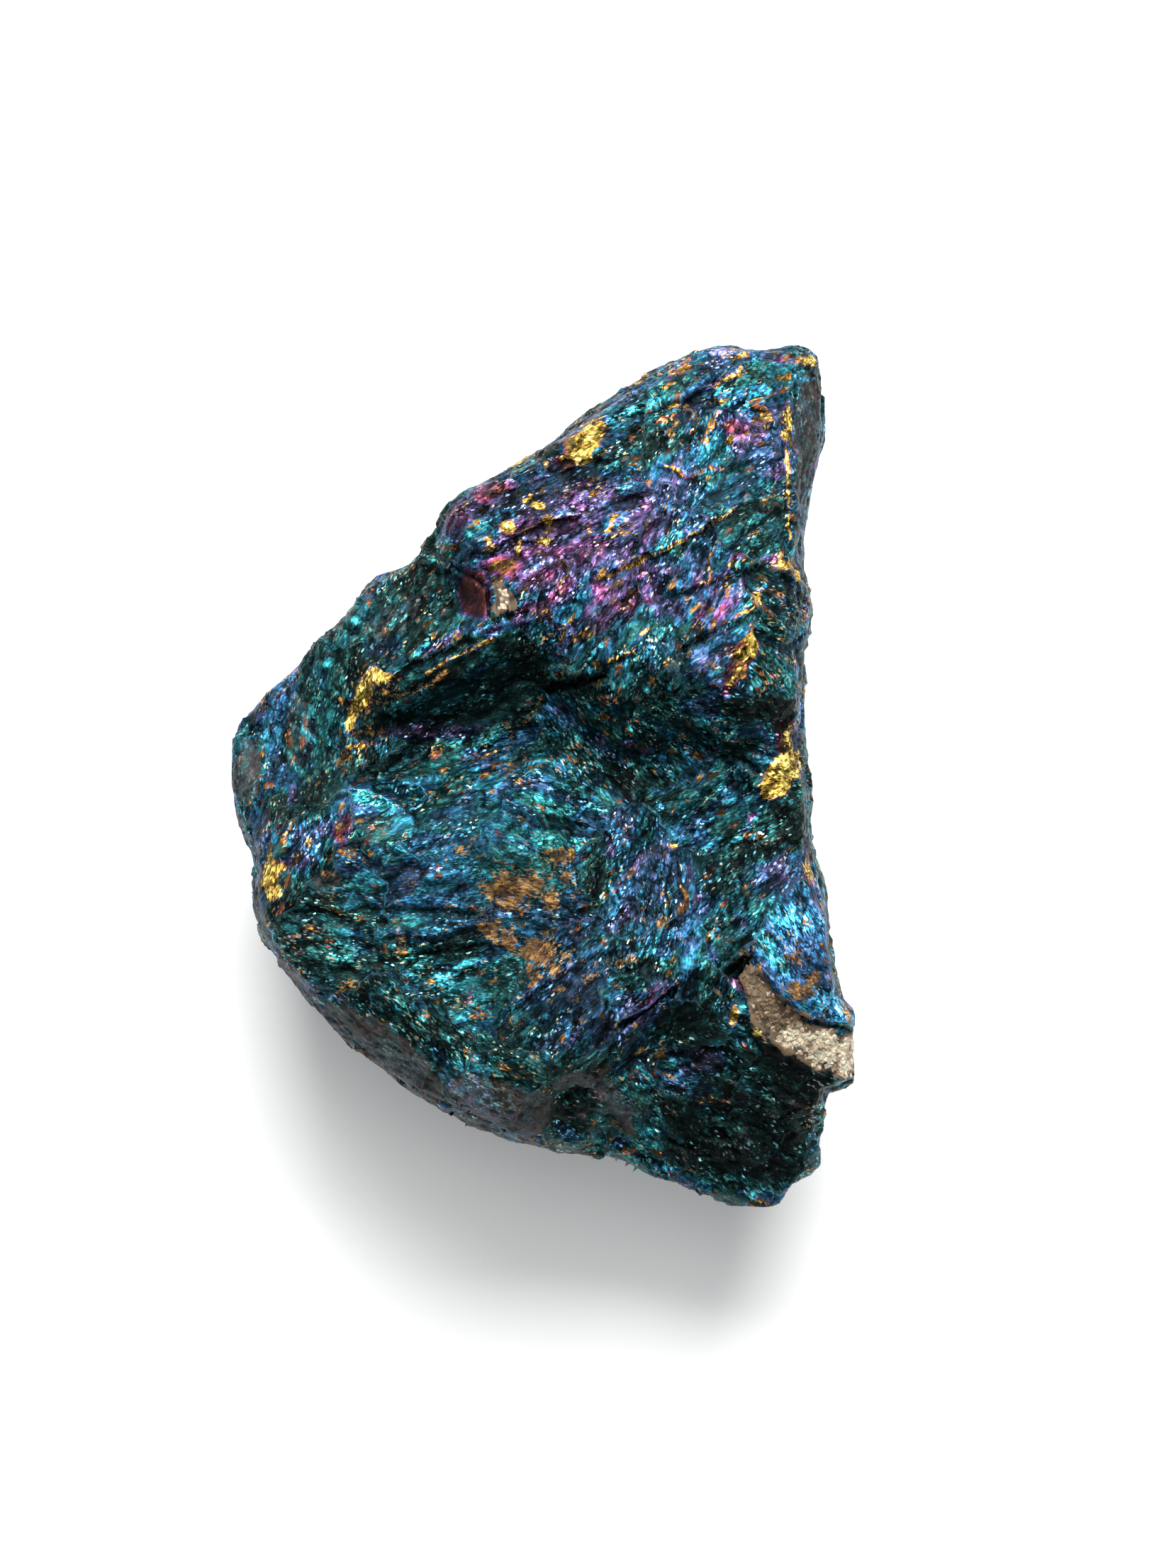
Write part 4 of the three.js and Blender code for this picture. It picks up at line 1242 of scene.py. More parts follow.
    def _lay_lines(self, masks: dict[Tarnish, np.ndarray], upper: np.ndarray) -> None:
        """Lays the thin lines along the ledges.

        Args:
            masks: Shares of the finishes that lie over the film, changed in place.
            upper: How much each corner belongs to the upper side.
        """
        chosen = np.nonzero(upper > self.patch_from)[0]
        plan = frayed(self.co[chosen], self.line_fray)
        for line in LINES:
            distance = np.hypot(*along_walk(plan, line.points))
            edge = np.clip(0.47 + (line.width / 2 - distance) / self.line_feather, 0, 1) * (distance <= 0.6)
            self._lay_over(masks[line.tarnish], chosen, edge * upper[chosen])

    @staticmethod
    def _lay_over(mask: np.ndarray, chosen: np.ndarray, share: np.ndarray) -> None:
        """Raises a mask at the chosen corners to a share, where it is lower."""
        mask[chosen] = np.maximum(mask[chosen], share)

    def _angles(self) -> np.ndarray:
        """Finds the angle of the grain, that of the nearest domain.

        Returns:
            The angle at each corner, in radians.
        """
        plan = frayed(self.co, self.domain_fray)
        away = np.stack([np.hypot(plan[:, 0] - grain.x, plan[:, 1] - grain.y) for grain in GRAINS])
        return np.radians([grain.turn for grain in GRAINS])[np.argmin(away, axis=0)]

    @staticmethod
    def _store(mesh: bpy.types.Mesh, name: str, values: np.ndarray) -> None:
        """Stores an attribute of a mesh's corners.

        Args:
            mesh: The mesh.
            name: The attribute's name.
            values: A number or a row of three for each corner.
        """
        kind, slot = ("FLOAT_VECTOR", "vector") if values.ndim == 2 else ("FLOAT", "value")
        mesh.attributes.new(name, kind, "POINT").data.foreach_set(slot, values.astype(np.float32).reshape(-1))

    def _relief_tree(self) -> bpy.types.NodeTree:
        """Builds the tree that lifts plates, scales, low ledges and grit out of the skin.

        Returns:
            The tree.
        """
        tree = new_tree("peacock_ore_skin", self.relief)
        graph = Graph(tree)
        given = graph.add("NodeGroupInput")
        flow = graph.stored("flow", "FLOAT_VECTOR")
        quartz = graph.stored("quartz")
        layering = Layering()

        def facets(size: Triple, name: str) -> Signal:
            """Tilts and lifts each cell of one size its own way.

            Args:
                size: The size of the cells.
                name: The first word of their inputs.

            Returns:
                The height.
            """
            place, cell = layering.split(graph, flow, size)
            lean = cell.of("Color") - MIDDLE
            slope = lean.dot(place - cell.of("Position")) * given.of(f"{name} Tilt")
            return slope + lean.part("X") * given.of(f"{name} Lift")

        normal = graph.add("GeometryNodeInputNormal")
        blocks = facets(layering.block, "Block") * normal.part("Z").step(-0.6, -0.25, 1.0, 0.0)
        slabs = facets(layering.slab, "Slab")
        plates = facets(layering.plate, "Plate")
        scales = facets(layering.scale, "Scale")
        grit = graph.noise(flow, 3.2, 3.0, 0.65).swing(given.of("Grit"))
        tread = (flow.part("Y") / given.of("Ledge Spacing") + graph.noise(flow, 0.35) * 2.2).fraction()
        riser = (tread * 7).least(1.0) * (1 - tread)
        presence = graph.noise(flow, 0.3, 1.0).step(0.42, 0.62)
        steps = riser * presence * given.of("Ledge Height")
        upright = normal.part("Z").step(-0.1, 0.55, 0.55, 1.0)
        height = ((slabs + plates + scales + grit + steps) * upright + blocks) * graph.stored("rough")
        lump = graph.noise(graph.add("GeometryNodeInputPosition"), 1.5, 3.0, 0.55) - 0.45
        height = height * (1 - quartz) + lump * given.of("Quartz Lump") * quartz
        moved = graph.add(
            "GeometryNodeSetPosition", {}, {"Geometry": given.of("Geometry"), "Offset": normal * height}
        )
        graph.end_geometry(moved, given.of("Material"))
        return tree

    def _fit(self, mesh: bpy.types.Mesh) -> None:
        """Keeps the skin in the solid's box and on its flat spot, marks its crests and turns it to metres.

        Args:
            mesh: The skin's mesh.
        """
        self._read(mesh)
        self.co = np.clip(self.co, self.low, self.high)
        self.co[:, 2] = np.where(self.flat_spot, 0, np.maximum(self.co[:, 2], self.clearance))
        stand = ((self.co - self._averaged(self.co)) * self._normals()).sum(axis=1)
        fine = self._eased(stand) / self.fine_crest[0] * self.fine_crest[1]
        broad = self._eased(stand, 3) / self.broad_crest[0] * self.broad_crest[1]
        self._store(mesh, "crest", np.clip(0.5 + fine + broad, 0, 1))
        self.co *= MM
        self._write(mesh)
        mesh.shade_smooth()


def new_tree(name: str, sizes: dict[str, float]) -> bpy.types.NodeTree:
    """Starts a geometry tree with an input for the geometry, for each size and for the material.

    Args:
        name: Its name.
        sizes: The sizes by the names of their inputs.

    Returns:
        The tree.
    """
    tree = bpy.data.node_groups.new(name, "GeometryNodeTree")
    tree.interface.new_socket("Geometry", in_out="INPUT", socket_type="NodeSocketGeometry")
    for size in sizes:
        tree.interface.new_socket(size, in_out="INPUT", socket_type="NodeSocketFloat")
    tree.interface.new_socket("Material", in_out="INPUT", socket_type="NodeSocketMaterial")
    tree.interface.new_socket("Geometry", in_out="OUTPUT", socket_type="NodeSocketGeometry")
    return tree


def run_tree(
    piece: bpy.types.Object, tree: bpy.types.NodeTree, sizes: dict[str, float], material: bpy.types.Material
) -> bpy.types.Mesh:
    """Runs a tree over the piece.

    Args:
        piece: The object whose mesh goes in.
        tree: The tree.
        sizes: The values of its inputs by name.
        material: What the result is dressed in.

    Returns:
        The result as a plain mesh.
    """
    modifier = piece.modifiers.new(tree.name, "NODES")
    modifier.node_group = tree
    keys = {item.name: item.identifier for item in tree.interface.items_tree if item.in_out == "INPUT"}
    for name, value in sizes.items():
        modifier[keys[name]] = value
    modifier[keys["Material"]] = material
    scene = bpy.context.evaluated_depsgraph_get()
    scene.update()
    result = bpy.data.meshes.new_from_object(
        piece.evaluated_get(scene), preserve_all_data_layers=True, depsgraph=scene
    )
    result.name = tree.name
    piece.modifiers.remove(modifier)
    return result


# --------------------------------------------------------------------------- quartz
@dataclass
class QuartzGrains:
    """Small grains of quartz that stand out of the vein and the pale corner.

    Attributes:
        sizes: Inputs of the tree: grains per square metre, the middle size of a grain and how deep its
            middle lies, in metres, how far a grain's size may differ, and the seed.
        slight, stout: A grain's least and greatest proportions along its three axes.
        shares: The shares of quartz between which the grains grow dense.
    """

    sizes: dict[str, float] = field(
        default_factory=lambda: {
            "Density": 5.0e7,
            "Grain Size": 0.00046,
            "Depth": 0.00014,
            "Spread": 0.4,
            "Seed": 4,
        }
    )
    slight: Triple = (1.0, 0.7, 0.5)
    stout: Triple = (1.0, 0.9, 0.8)
    shares: tuple[float, float] = (0.6, 0.9)

    def build(self, skin: bpy.types.Object, material: bpy.types.Material) -> bpy.types.Object:
        """Builds the grains.

        Args:
            skin: The finished skin, whose quartz they stand on.
            material: Their finish.

        Returns:
            The finished piece at the origin.
        """
        mesh = run_tree(skin, self._tree(), self.sizes, material)
        low, high = np.array(plain(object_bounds()))
        flat = np.empty(len(mesh.vertices) * 3)
        mesh.vertices.foreach_get("co", flat)
        mesh.vertices.foreach_set("co", np.clip(flat.reshape(-1, 3), low, high).reshape(-1))
        mesh.update()
        LOG.info("quartz grains: %d faces", len(mesh.polygons))
        return put("quartz_grains", mesh)

    def _tree(self) -> bpy.types.NodeTree:
        """Builds the tree that scatters the grains.

        Returns:
            The tree.
        """
        tree = new_tree("quartz_grains", self.sizes)
        graph = Graph(tree)
        given = graph.add("NodeGroupInput")
        points = graph.add(
            "GeometryNodeDistributePointsOnFaces",
            {"distribute_method": "RANDOM"},
            {
                "Mesh": given.of("Geometry"),
                "Density": given.of("Density") * graph.stored("quartz").step(*self.shares),
                "Seed": given.of("Seed"),
            },
        )
        radius = given.of("Grain Size") * 0.5
        grain = graph.add("GeometryNodeMeshIcoSphere", {}, {"Radius": radius, "Subdivisions": 1})
        least = (1 - given.of("Spread")) * self.slight
        most = (1 + given.of("Spread")) * self.stout
        vectors = {"data_type": "FLOAT_VECTOR"}
        scale = graph.add("FunctionNodeRandomValue", vectors, {0: least, 1: most})
        turn = graph.add("FunctionNodeRandomValue", vectors, {0: (0.0, 0.0, 0.0), 1: (6.3, 6.3, 6.3)})
        inwards = points.of("Normal") * given.of("Depth") * -1.0
        sunk = graph.add("GeometryNodeSetPosition", {}, {"Geometry": points, "Offset": inwards})
        placed = graph.add(
            "GeometryNodeInstanceOnPoints",
            {},
            {"Points": sunk, "Instance": grain, "Rotation": turn, "Scale": scale},
        )
        graph.end_geometry(placed, given.of("Material"))
        return tree


# --------------------------------------------------------------------------- finishes
@dataclass(frozen=True)
class QuartzFinish:
    """Milky quartz with brown stains and painted shade.

    Attributes:
        clear, stain_and_shade: The colours of clean grains, and of stained and shaded ones.
        stain_and_shade_at_end: How much browner and darker the quartz is at the upper end of the vein, stain
            and painted shade together, and away from it.
        shaded_end: Where that end is.
        shaded_end_reach: How far it reaches.
    """

    clear: Colour = (0.56, 0.45, 0.325)
    stain_and_shade: Colour = (0.14, 0.09, 0.048)
    stain_and_shade_at_end: tuple[float, float] = (0.32, -0.04)
    shaded_end: Triple = (10.4, -10.4, 0.0)
    shaded_end_reach: float = 3.1623

    def stained_and_shaded(self, graph: Graph, place: Signal) -> Signal:
        """Gives how brown and dark the quartz is, stain and painted shade together: most at the upper end of
        the vein.

        Args:
            graph: The material's graph.
            place: The place in millimetres.

        Returns:
            The amount, to be compared with a threshold.
        """
        away = (place - self.shaded_end) * (1.0, 1.0, 0.0)
        return graph.noise(place, 0.9, 4.0, 0.7) + away.dot(away).step(0.0, self.shaded_end_reach**2, *self.stain_and_shade_at_end)

    def material(self) -> bpy.types.Material:
        """Builds the material.

        Returns:
            The material of the grains.
        """
        material, graph = start_material("milky_quartz")
        place = graph.add("ShaderNodeTexCoord").of("Object") * (1 / MM)
        share = self.stained_and_shaded(graph, place).step(0.42, 0.64)
        colour = graph.blend(share, self.clear, self.stain_and_shade) * (0.4 + graph.noise(place, 4.0, 3.0, 0.6) * 1.2)
        graph.end_material(
            {"Base Color": colour, "Roughness": 0.4, "Subsurface Weight": 0.4, "Subsurface Scale": 0.0003}
        )
        return material


@dataclass(frozen=True)
class OreFinish:
    """Tarnished ore, with its dull coat, rust flecks and pale quartz.

    Attributes:
        colours: The tarnish colours in the order of their film thickness.
        channels: What each colour channel counts for in a grey.
        vividness: How far the tarnish colours are drawn away from grey.
        shine: The colour that the painted glints are drawn towards.
        gilt_and_glint: The colour of rare brassy scales, painted as gold glints.
        least: A faint grey added to all the metal, a painted sheen that lifts its darkest places.
        quartz, quartz_stain_and_shade: Clean quartz, and stained and shaded quartz.
        rust, ochre: The dark and the light rust.
        coat, coat_dark, coat_red: The dull coat, also painted shade on the flanks turned away from the lamps,
            and its darker and redder places.
        grain: Cells per millimetre along, across and down, of the finest scales.
        film_jitter: How far slabs, plates, scales, specks and the frayed noise change the film's thickness.
        slab_light, scale_light: How far slabs and scales differ in lightness.
        contrast, brightness, shoulder: The power and the factor on the lightness, and how far its top is
            held back.
        brass_edge, brass_fringe, rust_edge, quartz_edge, coat_edge, stain_and_shade_edge: Between which
        values of its mask each finish sets in.
        rust_cover, coat_cover: The most that rust and coat hide of the metal.
        polish: Roughness of the bare metal.
        striation: Depth of the striations, in metres.
    """

    colours: tuple[tuple[float, Colour], ...] = (
        (0.00, (0.57, 0.42, 0.13)),
        (0.07, (0.49, 0.31, 0.08)),
        (0.14, (0.46, 0.19, 0.07)),
        (0.20, (0.42, 0.09, 0.10)),
        (0.28, (0.43, 0.135, 0.325)),
        (0.38, (0.25, 0.155, 0.405)),
        (0.475, (0.17, 0.22, 0.46)),
        (0.56, (0.06, 0.185, 0.385)),
        (0.64, (0.042, 0.208, 0.368)),
        (0.71, (0.05, 0.275, 0.352)),
        (0.78, (0.048, 0.262, 0.262)),
        (0.87, (0.033, 0.13, 0.12)),
        (1.00, (0.016, 0.028, 0.028)),
    )
    channels: Triple = (0.3, 0.5, 0.2)
    vividness: float = 0.09
    shine: Colour = (1.0, 1.0, 1.0)
    gilt_and_glint: Colour = (0.66, 0.50, 0.24)
    least: Colour = (0.005, 0.0065, 0.0065)
    quartz: Colour = (0.56, 0.45, 0.32)
    quartz_stain_and_shade: Colour = (0.11, 0.07, 0.036)
    rust: Colour = (0.165, 0.068, 0.017)
    ochre: Colour = (0.27, 0.142, 0.031)
    coat: Colour = (0.055, 0.08, 0.074)
    coat_dark: Colour = (0.016, 0.036, 0.034)
    coat_red: Colour = (0.085, 0.05, 0.055)
    grain: Triple = (6.0, 14.0, 10.0)
    film_jitter: tuple[float, ...] = (0.16, 0.24, 0.16, 0.05, 0.12)
    slab_light: float = 0.7
    scale_light: float = 1.2
    contrast: float = 1.25
    brightness: float = 0.76
    shoulder: float = 0.2
    brass_edge: tuple[float, float] = (0.46, 0.56)
    brass_fringe: tuple[float, float] = (0.38, 0.54)
    rust_edge: tuple[float, float] = (0.53, 0.58)
    quartz_edge: tuple[float, float] = (0.45, 0.53)
    coat_edge: tuple[float, float] = (0.25, 0.75)
    stain_and_shade_edge: tuple[float, float] = (0.42, 0.66)
    rust_cover: float = 0.94
    coat_cover: float = 0.75
    polish: float = 0.46
    striation: float = 0.00006

    def material(self) -> bpy.types.Material:
        """Builds the material.

        Returns:
            The material, which reads the skin's attributes.
        """
        material, graph = start_material("tarnish")
        graph.end_material(OreShader(graph, self).inputs())
        return material


class OreShader:
    """The nodes of the ore's material, from the skin's attributes to the inputs of its shader.

    The noises, cells and masks that several steps use are kept. A cell's X, Y and Z are random to it: X
    moves the film's thickness, Y the lightness and Z picks odd cells.

    Attributes:
        graph: The material's graph.
        finish: Its colours and sizes.
        place, flow: Places in millimetres, in the object's frame and along the grain.
        gain, rough, crest: How light the skin is drawn, its own tone with painted shade and highlights, how
            broken, and how far out of its surroundings it is.
        ragged, fray, streaks: Noises over the place, along the grain, and in fine streaks along it.
        slab, plate, scale: The cells, from the largest, as values round 0.
        speck, speck_x, speck_y, speck_z: The finest cells, whole and by part, from 0 to 1.
        painted_highlight, lit: Where the patches paint highlights, and where they paint no shade.
        cluster, lively, calm: Where painted glints gather, how much they show, and how far cells differ.
        painted_gap_shade: Painted shade in the gaps between the scales, as a factor.
        brass_near, rust, quartz, coat: The masks of what lies over the film, the coat also being painted
            shade on the flanks; the brass one is still soft.
    """

    def __init__(self, graph: Graph, finish: OreFinish) -> None:
        """Reads the skin and makes the noises, cells and masks.

        Args:
            graph: The material's graph.
            finish: Its colours and sizes.
        """
        self.graph = graph
        self.finish = finish
        self.place = graph.add("ShaderNodeTexCoord").of("Object") * (1 / MM)
        self.flow = self._read("flow", "Vector")
        self.rough = self._read("rough")
        self.crest = self._read("crest")
        self.gain = self._read("gain")
        self.ragged = graph.noise(self.place, 2.2, 4.0, 0.65)
        self.fray = graph.noise(self.flow * (1.0, 2.0, 1.5), 2.6, 4.0, 0.7)
        layering = Layering()
        self.slab = layering.split(graph, self.flow, layering.slab)[1].of("Color") - MIDDLE
        self.plate = layering.split(graph, self.flow, layering.plate)[1].of("Color") - MIDDLE
        scale_place, scale_cell = layering.split(graph, self.flow, layering.scale)
        self.scale = scale_cell.of("Color") - MIDDLE
        # Painted shade in the gaps between the scales.
        painted_gap_shade = graph.cells(scale_place, "DISTANCE_TO_EDGE").step(0.0, 0.08, 0.15, 1.0)
        warp = (graph.noise(self.flow, 3.4, 2.0, 0.6).of("Color") - MIDDLE) * 1.1
        self.speck = graph.cells(self.flow * finish.grain + warp).of("Color")
        self.speck_x, self.speck_y, self.speck_z = (self.speck.part(axis) for axis in "XYZ")
        # Painted highlights, and the places out of painted shade.
        self.painted_highlight = self.gain.step(1.6, 2.3)
        self.lit = self.gain.step(0.35, 0.95)
        gathered = graph.noise(self.flow * (0.5, 1.3, 1.0), 0.9, 3.0, 0.6).step(0.42, 0.62)
        self.cluster = gathered.most(self.painted_highlight * 0.9)
        plain_plate = self.plate.part("Z").step(0.16, 0.22) * (1 - self.painted_highlight)
        self.lively = self.rough * (1 - plain_plate * 0.75) * (0.35 + self.cluster * 0.65)
        self.calm = 0.15 + self.rough * 0.85
        self.painted_gap_shade = 1 - (1 - painted_gap_shade) * self.lively.step(0.0, 0.7, 0.12, 1.0)
        self.streaks = graph.noise(self.flow * (1.6, 7.0, 4.0), 1.4, 4.0, 0.7)
        crumbs = graph.noise(self.place, 5.5, 3.0, 0.7)
        self.brass_near = self._read("brass") + self.fray.swing(0.8)
        rust_near = self._read("rust") + self.ragged.swing(1.8) + crumbs.swing(1.9)
        self.rust = rust_near.step(*finish.rust_edge)
        self.quartz = (self._read("quartz") + self.ragged.swing(0.5)).step(*finish.quartz_edge)
        self.coat = (self._read("coat") + self.ragged.swing(0.9)).step(*finish.coat_edge)

    def _read(self, name: str, output: str = "Fac") -> Signal:
        """Returns an attribute of the skin."""
        return self.graph.add("ShaderNodeAttribute", {"attribute_name": name}).of(output)

    def inputs(self) -> dict[str, object]:
        """Lays the finishes over each other.

        Returns:
            The shader's inputs by name.
        """
        blend, finish = self.graph.blend, self.finish
        stray = self._stray()
        tint = self._tint(stray)
        light = self._light(stray)
        # Painted glints: rare specks drawn towards a light copy of the tint.
        glint = (self.speck_z + self.cluster * 0.03).step(0.975, 0.99) * self.lively
        metal = self._metal(tint, light, glint)
        metal = blend(self.brass_near.step(*finish.brass_edge), metal, self._gold(tint))
        metal = blend(self.rust * finish.rust_cover, metal, self._earth())
        metal = blend(self.coat * finish.coat_cover, metal, self._dull(light))
        dry = self.quartz.most(self.coat * 0.55).most(self.rust * 0.5)
        return {
            "Base Color": blend(self.quartz, metal, self._pale()),
            "Metallic": 1 - dry,
            "Roughness": finish.polish + self.speck_x * 0.12 + dry * 0.2 - glint * 0.12,
            "Normal": self._normal(),
        }

    def _stray(self) -> Signal:
        """Picks the odd scales that stay brassy in the midst of the tarnish.

        Returns:
            How far a place belongs to one.
        """
        odd = self.scale.part("Z") + self.fray.swing(0.5) + self.crest.swing(0.12)
        odd = odd + (self.rough * self.lit - 1) * 0.12
        return odd.step(0.425, 0.45) * 0.9

    def _tint(self, stray: Signal) -> Signal:
        """Finds the film's thickness and colours it.

        Args:
            stray: The share of odd scales.

        Returns:
            The colour of the tarnish.
        """
        by_slab, by_plate, by_scale, by_speck, by_fray = self.finish.film_jitter
        jitter = self.slab.part("X") * by_slab + self.plate.part("X") * by_plate
        jitter = jitter + self.scale.part("X") * by_scale * self.calm
        jitter = jitter + self.speck_x.swing(by_speck) + self.fray.swing(by_fray)
        steady = self.gain.step(1.15, 1.7, 1.0, 0.35)
        film = self._read("film") + jitter * (0.4 + self.rough * 0.6) * steady - self.crest.swing(0.08)
        film = film * (1 - stray) + stray * (0.04 + self.plate.part("Y") * 0.12)
        fringe = self.brass_near.step(*self.finish.brass_fringe)
        thin = 0.035 + self.plate.part("Y") * 0.08 + self.ragged.swing(0.1)
        film = film.most(0.0) * (1 - fringe) + fringe * thin
        tint = self.graph.add("ShaderNodeValToRGB", {"stops": self.finish.colours}, {"Fac": film})
        vivid = self.finish.vividness
        return tint * (1 + vivid) - (vivid, vivid, vivid) * tint.dot(self.finish.channels)

    def _light(self, stray: Signal) -> Signal:
        """Finds how light the metal is drawn: its own random tone, with painted shade between the scales, in
        hollows and in shaded patches, and painted highlights as glitter, on crests, along the striations and
        in the highlight patches.

        Args:
            stray: The share of odd scales.

        Returns:
            The factor on the tarnish colours.
        """
        quiet = self.speck_y * self.speck_y * 0.28 + 0.08
        # Painted glitter: a few specks drawn far lighter, as glints.
        painted_sparkle = 0.20 + (self.speck_y**4) * 1.7 * self.lively + (1 - self.lively) * quiet
        lift = (1 + self.plate.part("Y") * self.calm) * (1 + self.slab.part("Y") * self.finish.slab_light)
        lift = lift * (1 + self.scale.part("Y") * self.finish.scale_light * self.calm)
        # Painted highlights on crests and painted shade in hollows.
        edges = self.crest.step(0.5, 0.8, 0.0, 0.55) * (0.25 + self.lively * 0.75)
        edges = self.crest.step(0.1, 0.5, 0.4, 0.95) + edges
        light = self.gain * painted_sparkle * lift * self.painted_gap_shade * edges
        # Lighter and darker along the striations as their painted light and shade, and lighter still in the
        # painted highlights.
        light = light * self.streaks.step(0.36, 0.64, 0.7, 1.6) * (1 + self.painted_highlight * 0.35)
        held = (light**self.finish.contrast) * self.finish.brightness / (1 + light * self.finish.shoulder)
        return held * (1 - stray * 0.45)

    def _metal(self, tint: Signal, light: Signal, glint: Signal) -> Signal:
        """Colours the tarnished metal, its painted glints and its brassy scales painted as gold glints.

        Args:
            tint: The colour of the tarnish.
            light: How light it is drawn, painted light and shade included.
            glint: The share of painted glints.

        Returns:
            The colour.
        """
        sparks = self.graph.blend(0.18, tint * 2.2, self.finish.shine)
        # Rare brassy scales painted as gold glints, on crests and out of painted shade.
        gilt_and_glint = (self.speck_x + self.crest.swing(0.08) + self.cluster * 0.02).step(0.985, 0.995)
        gilt_and_glint = gilt_and_glint * self.lively * self.lit
        metal = self.graph.blend(glint, tint * light, sparks)
        # Painted sheen: a faint grey under all the metal.
        return self.graph.blend(gilt_and_glint * 0.85, metal, self.finish.gilt_and_glint) + self.finish.least

    def _gold(self, tint: Signal) -> Signal:
        """Colours the brass, with painted glitter on some specks, painted highlights on crests and painted
        shade in hollows.

        Args:
            tint: The colour of the thin film on it.

        Returns:
            The colour.
        """
        # Painted glitter on some specks, painted highlights on crests, painted shade in hollows.
        grainy = tint * (0.2 + (self.speck_y**2) * 1.9) * (1 + self.scale.part("Y") * self.finish.scale_light)
        return grainy * self.crest.step(0.1, 0.9, 0.4, 1.5)

    def _earth(self) -> Signal:
        """Colours the rust, with painted glints on some specks, painted shade between the scales and in
        hollows, and painted highlights on crests and along the striations.

        Returns:
            The colour.
        """
        earth = self.graph.blend(self.ragged.step(0.4, 0.62), self.finish.rust, self.finish.ochre)
        # Painted glints, painted shade between scales and in hollows, painted highlights on crests and
        # striations.
        earth = earth * (0.12 + self.speck_y * 1.1) * (1 + self.scale.part("Y") * 0.9) * self.painted_gap_shade
        return earth * self.crest.step(0.2, 0.8, 0.5, 1.4) * self.streaks.step(0.34, 0.66, 0.5, 1.7)

    def _dull(self, light: Signal) -> Signal:
        """Colours the dull coat, which also stands for painted shade, with the painted light and shade of the
        metal under it.

        Args:
            light: How light the metal under it is drawn, painted light and shade included.

        Returns:
            The colour.
        """
        dull = self.graph.blend(self.fray.step(0.4, 0.6), self.finish.coat, self.finish.coat_dark)
        reddish = (self.ragged + self.plate.part("X") * 0.2).step(0.48, 0.58)
        # The coat takes on the painted light and shade of the metal under it.
        return self.graph.blend(reddish, dull, self.finish.coat_red) * (0.3 + light * 0.9)

    def _pale(self) -> Signal:
        """Colours the quartz: browner and darker at its margins and towards the upper end of the vein, stain
        and painted shade together, with painted shade in hollows and painted highlights on crests.

        Returns:
            The colour.
        """
        # Stain and painted shade, most at the margins and at the upper end of the vein.
        stained_and_shaded = QuartzFinish().stained_and_shaded(self.graph, self.place) + (1 - self._read("quartz")) * 0.6
        share = stained_and_shaded.step(*self.finish.stain_and_shade_edge)
        pale = self.graph.blend(share, self.finish.quartz, self.finish.quartz_stain_and_shade)
        # Painted shade in hollows, painted highlights on crests.
        return pale * self.crest.step(0.2, 0.8, 0.3, 1.1)

    def _normal(self) -> Signal:
        """Tilts the cells and adds the striations.

        Returns:
            The normal.
        """
        lean = (self.speck - MIDDLE) * (0.2 + self.lively * 0.2) + self.scale * (self.calm * 0.36)
        lean = lean + self.plate * 0.22
        normal = self.graph.add("ShaderNodeNewGeometry").of("Normal")
        tilted = (normal + lean * (self.rough * (1 - self.quartz))).unit()
        inputs = {"Strength": 0.55, "Distance": self.finish.striation, "Height": self.streaks}
        return self.graph.add("ShaderNodeBump", {}, {**inputs, "Normal": tilted})


@dataclass(frozen=True)
class FloorFinish:
    """A plain, pale studio floor.

    Attributes:
        colour, cloud: Its colour, and a slightly darker one that clouds it.
    """

    colour: Colour = (0.88, 0.88, 0.87)
    cloud: Colour = (0.8, 0.8, 0.79)

    def material(self) -> bpy.types.Material:
        """Builds the floor's material.

        Returns:
            The material.
        """
        material, graph = start_material("studio_floor")
        clouds = graph.noise(graph.add("ShaderNodeTexCoord").of("Object"), 30.0, 3.0, 0.5)
        colour = graph.blend(clouds * 0.12, self.colour, self.cloud)
        graph.end_material({"Base Color": colour, "Roughness": 0.85})
        return material


# --------------------------------------------------------------------------- the studio
@dataclass(frozen=True)
class Softbox:
    """A square lamp.

    Attributes:
        name: Its name.
        azimuth: Degrees from +X, counterclockwise from above, to where it stands.
        height: Degrees above level.
        distance: Metres from the chunk.
        side: Its side in metres.
        power: Watts.
    """

    name: str
    azimuth: float
    height: float
    distance: float
    side: float
    power: float

    def place(self, aim: Vector) -> None:
        """Puts the lamp in the scene.

        Args:
            aim: What it faces, in metres.
        """
        lamp = bpy.data.lights.new(self.name, "AREA")
        lamp.shape = "SQUARE"
        lamp.size = self.side
        lamp.energy = self.power
        turn, rise = math.radians(self.azimuth), math.radians(self.height)
        away = Vector((math.cos(turn) * math.cos(rise), math.sin(turn) * math.cos(rise), math.sin(rise)))
        holder = put(self.name, lamp)
        holder.location = aim + away * self.distance
        holder.rotation_euler = (-away).to_track_quat("-Z", "Y").to_euler()


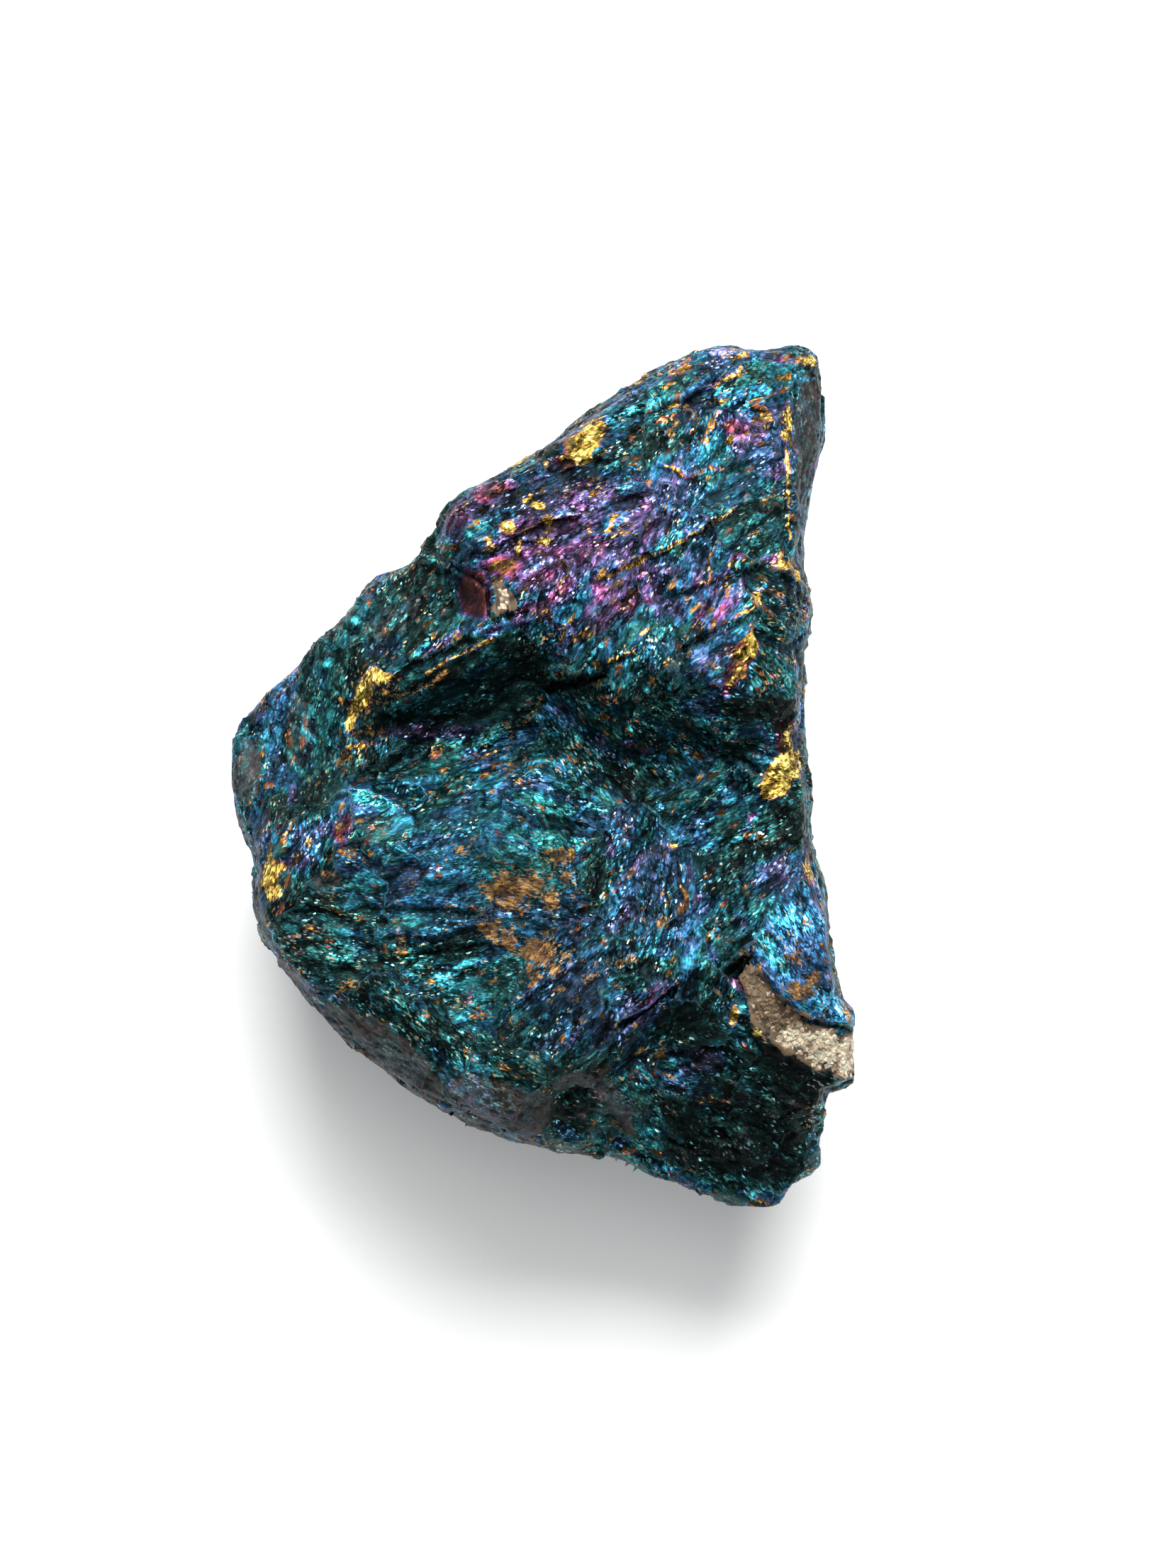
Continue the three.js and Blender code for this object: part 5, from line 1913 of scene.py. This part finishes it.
@dataclass
class Studio:
    """The floor, the lamps, the surroundings and the camera.

    Attributes:
        aim: Where the camera looks, in millimetres.
        rise: How far over that point the camera stands.
        span: The long side of the picture there.
        sensor: The long side of the camera's sensor, in millimetres.
        lamp_aim: Where the lamps look.
        floor_reach: How far the floor goes from the middle, in metres.
        sky: The colour of the surroundings.
        surroundings: Their strength.
        lamps: The softboxes.
    """

    aim: Triple = (2.2, -0.4, 15.0)
    rise: float = 260.0
    span: float = 76.3
    sensor: float = 36.0
    lamp_aim: Triple = (0.0, 0.0, 10.0)
    floor_reach: float = 1.5
    sky: Colour = (0.92, 0.96, 1.0)
    surroundings: float = 0.25
    lamps: tuple[Softbox, ...] = (
        Softbox("key_lamp", 84, 48, 0.5, 0.30, 5.0),
        Softbox("top_lamp", 100, 72, 0.6, 0.34, 1.2),
        Softbox("west_lamp", 176, 30, 0.55, 0.25, 0.7),
        Softbox("east_lamp", -20, 26, 0.55, 0.25, 0.6),
    )

    def build(self) -> None:
        """Builds the studio."""
        self._floor()
        for lamp in self.lamps:
            lamp.place(Vector(self.lamp_aim) * MM)
        world = bpy.data.worlds.new("surroundings")
        world.use_nodes = True
        background = world.node_tree.nodes["Background"]
        background.inputs["Color"].default_value = (*self.sky, 1.0)
        background.inputs["Strength"].default_value = self.surroundings
        bpy.context.scene.world = world
        self._camera()
        bpy.context.scene.view_settings.view_transform = "Standard"
        bpy.context.scene.view_settings.look = "None"

    def _floor(self) -> None:
        """Lays the floor."""
        work = bmesh.new()
        bmesh.ops.create_grid(work, x_segments=8, y_segments=8, size=self.floor_reach)
        mesh = bpy.data.meshes.new("studio_floor")
        work.to_mesh(mesh)
        work.free()
        floor = put("studio_floor", mesh)
        floor.data.materials.append(FloorFinish().material())
        floor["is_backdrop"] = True

    def _camera(self) -> None:
        """Hangs the camera straight over the chunk, its picture's top towards +Y."""
        lens = bpy.data.cameras.new("camera")
        lens.sensor_width = self.sensor
        lens.lens = self.sensor * self.rise / self.span
        lens.clip_start = 0.01
        lens.clip_end = 10
        camera = put("camera", lens)
        camera.location = (Vector(self.aim) + Vector((0, 0, self.rise))) * MM
        bpy.context.scene.camera = camera


# --------------------------------------------------------------------------- main
def plain(bounds: object) -> list[list[float]]:
    """Returns a box as plain lists of numbers."""
    return [[float(value) for value in corner] for corner in bounds]


def main() -> None:
    """Loads the frame, builds and dresses the chunk, and sets the studio round it."""
    logging.basicConfig(level=logging.INFO, format="%(name)s: %(message)s")
    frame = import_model()
    skin = OreSkin()
    piece = skin.build(frame["nodes"][skin.node], OreFinish().material())
    grains = QuartzGrains().build(piece, QuartzFinish().material())
    for part in (piece, grains):
        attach(part, "root")
    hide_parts(skin.node)
    LOG.info("pieces %s and %s ride on root", piece.name, grains.name)
    Studio().build()


if __name__ == "__main__":
    main()
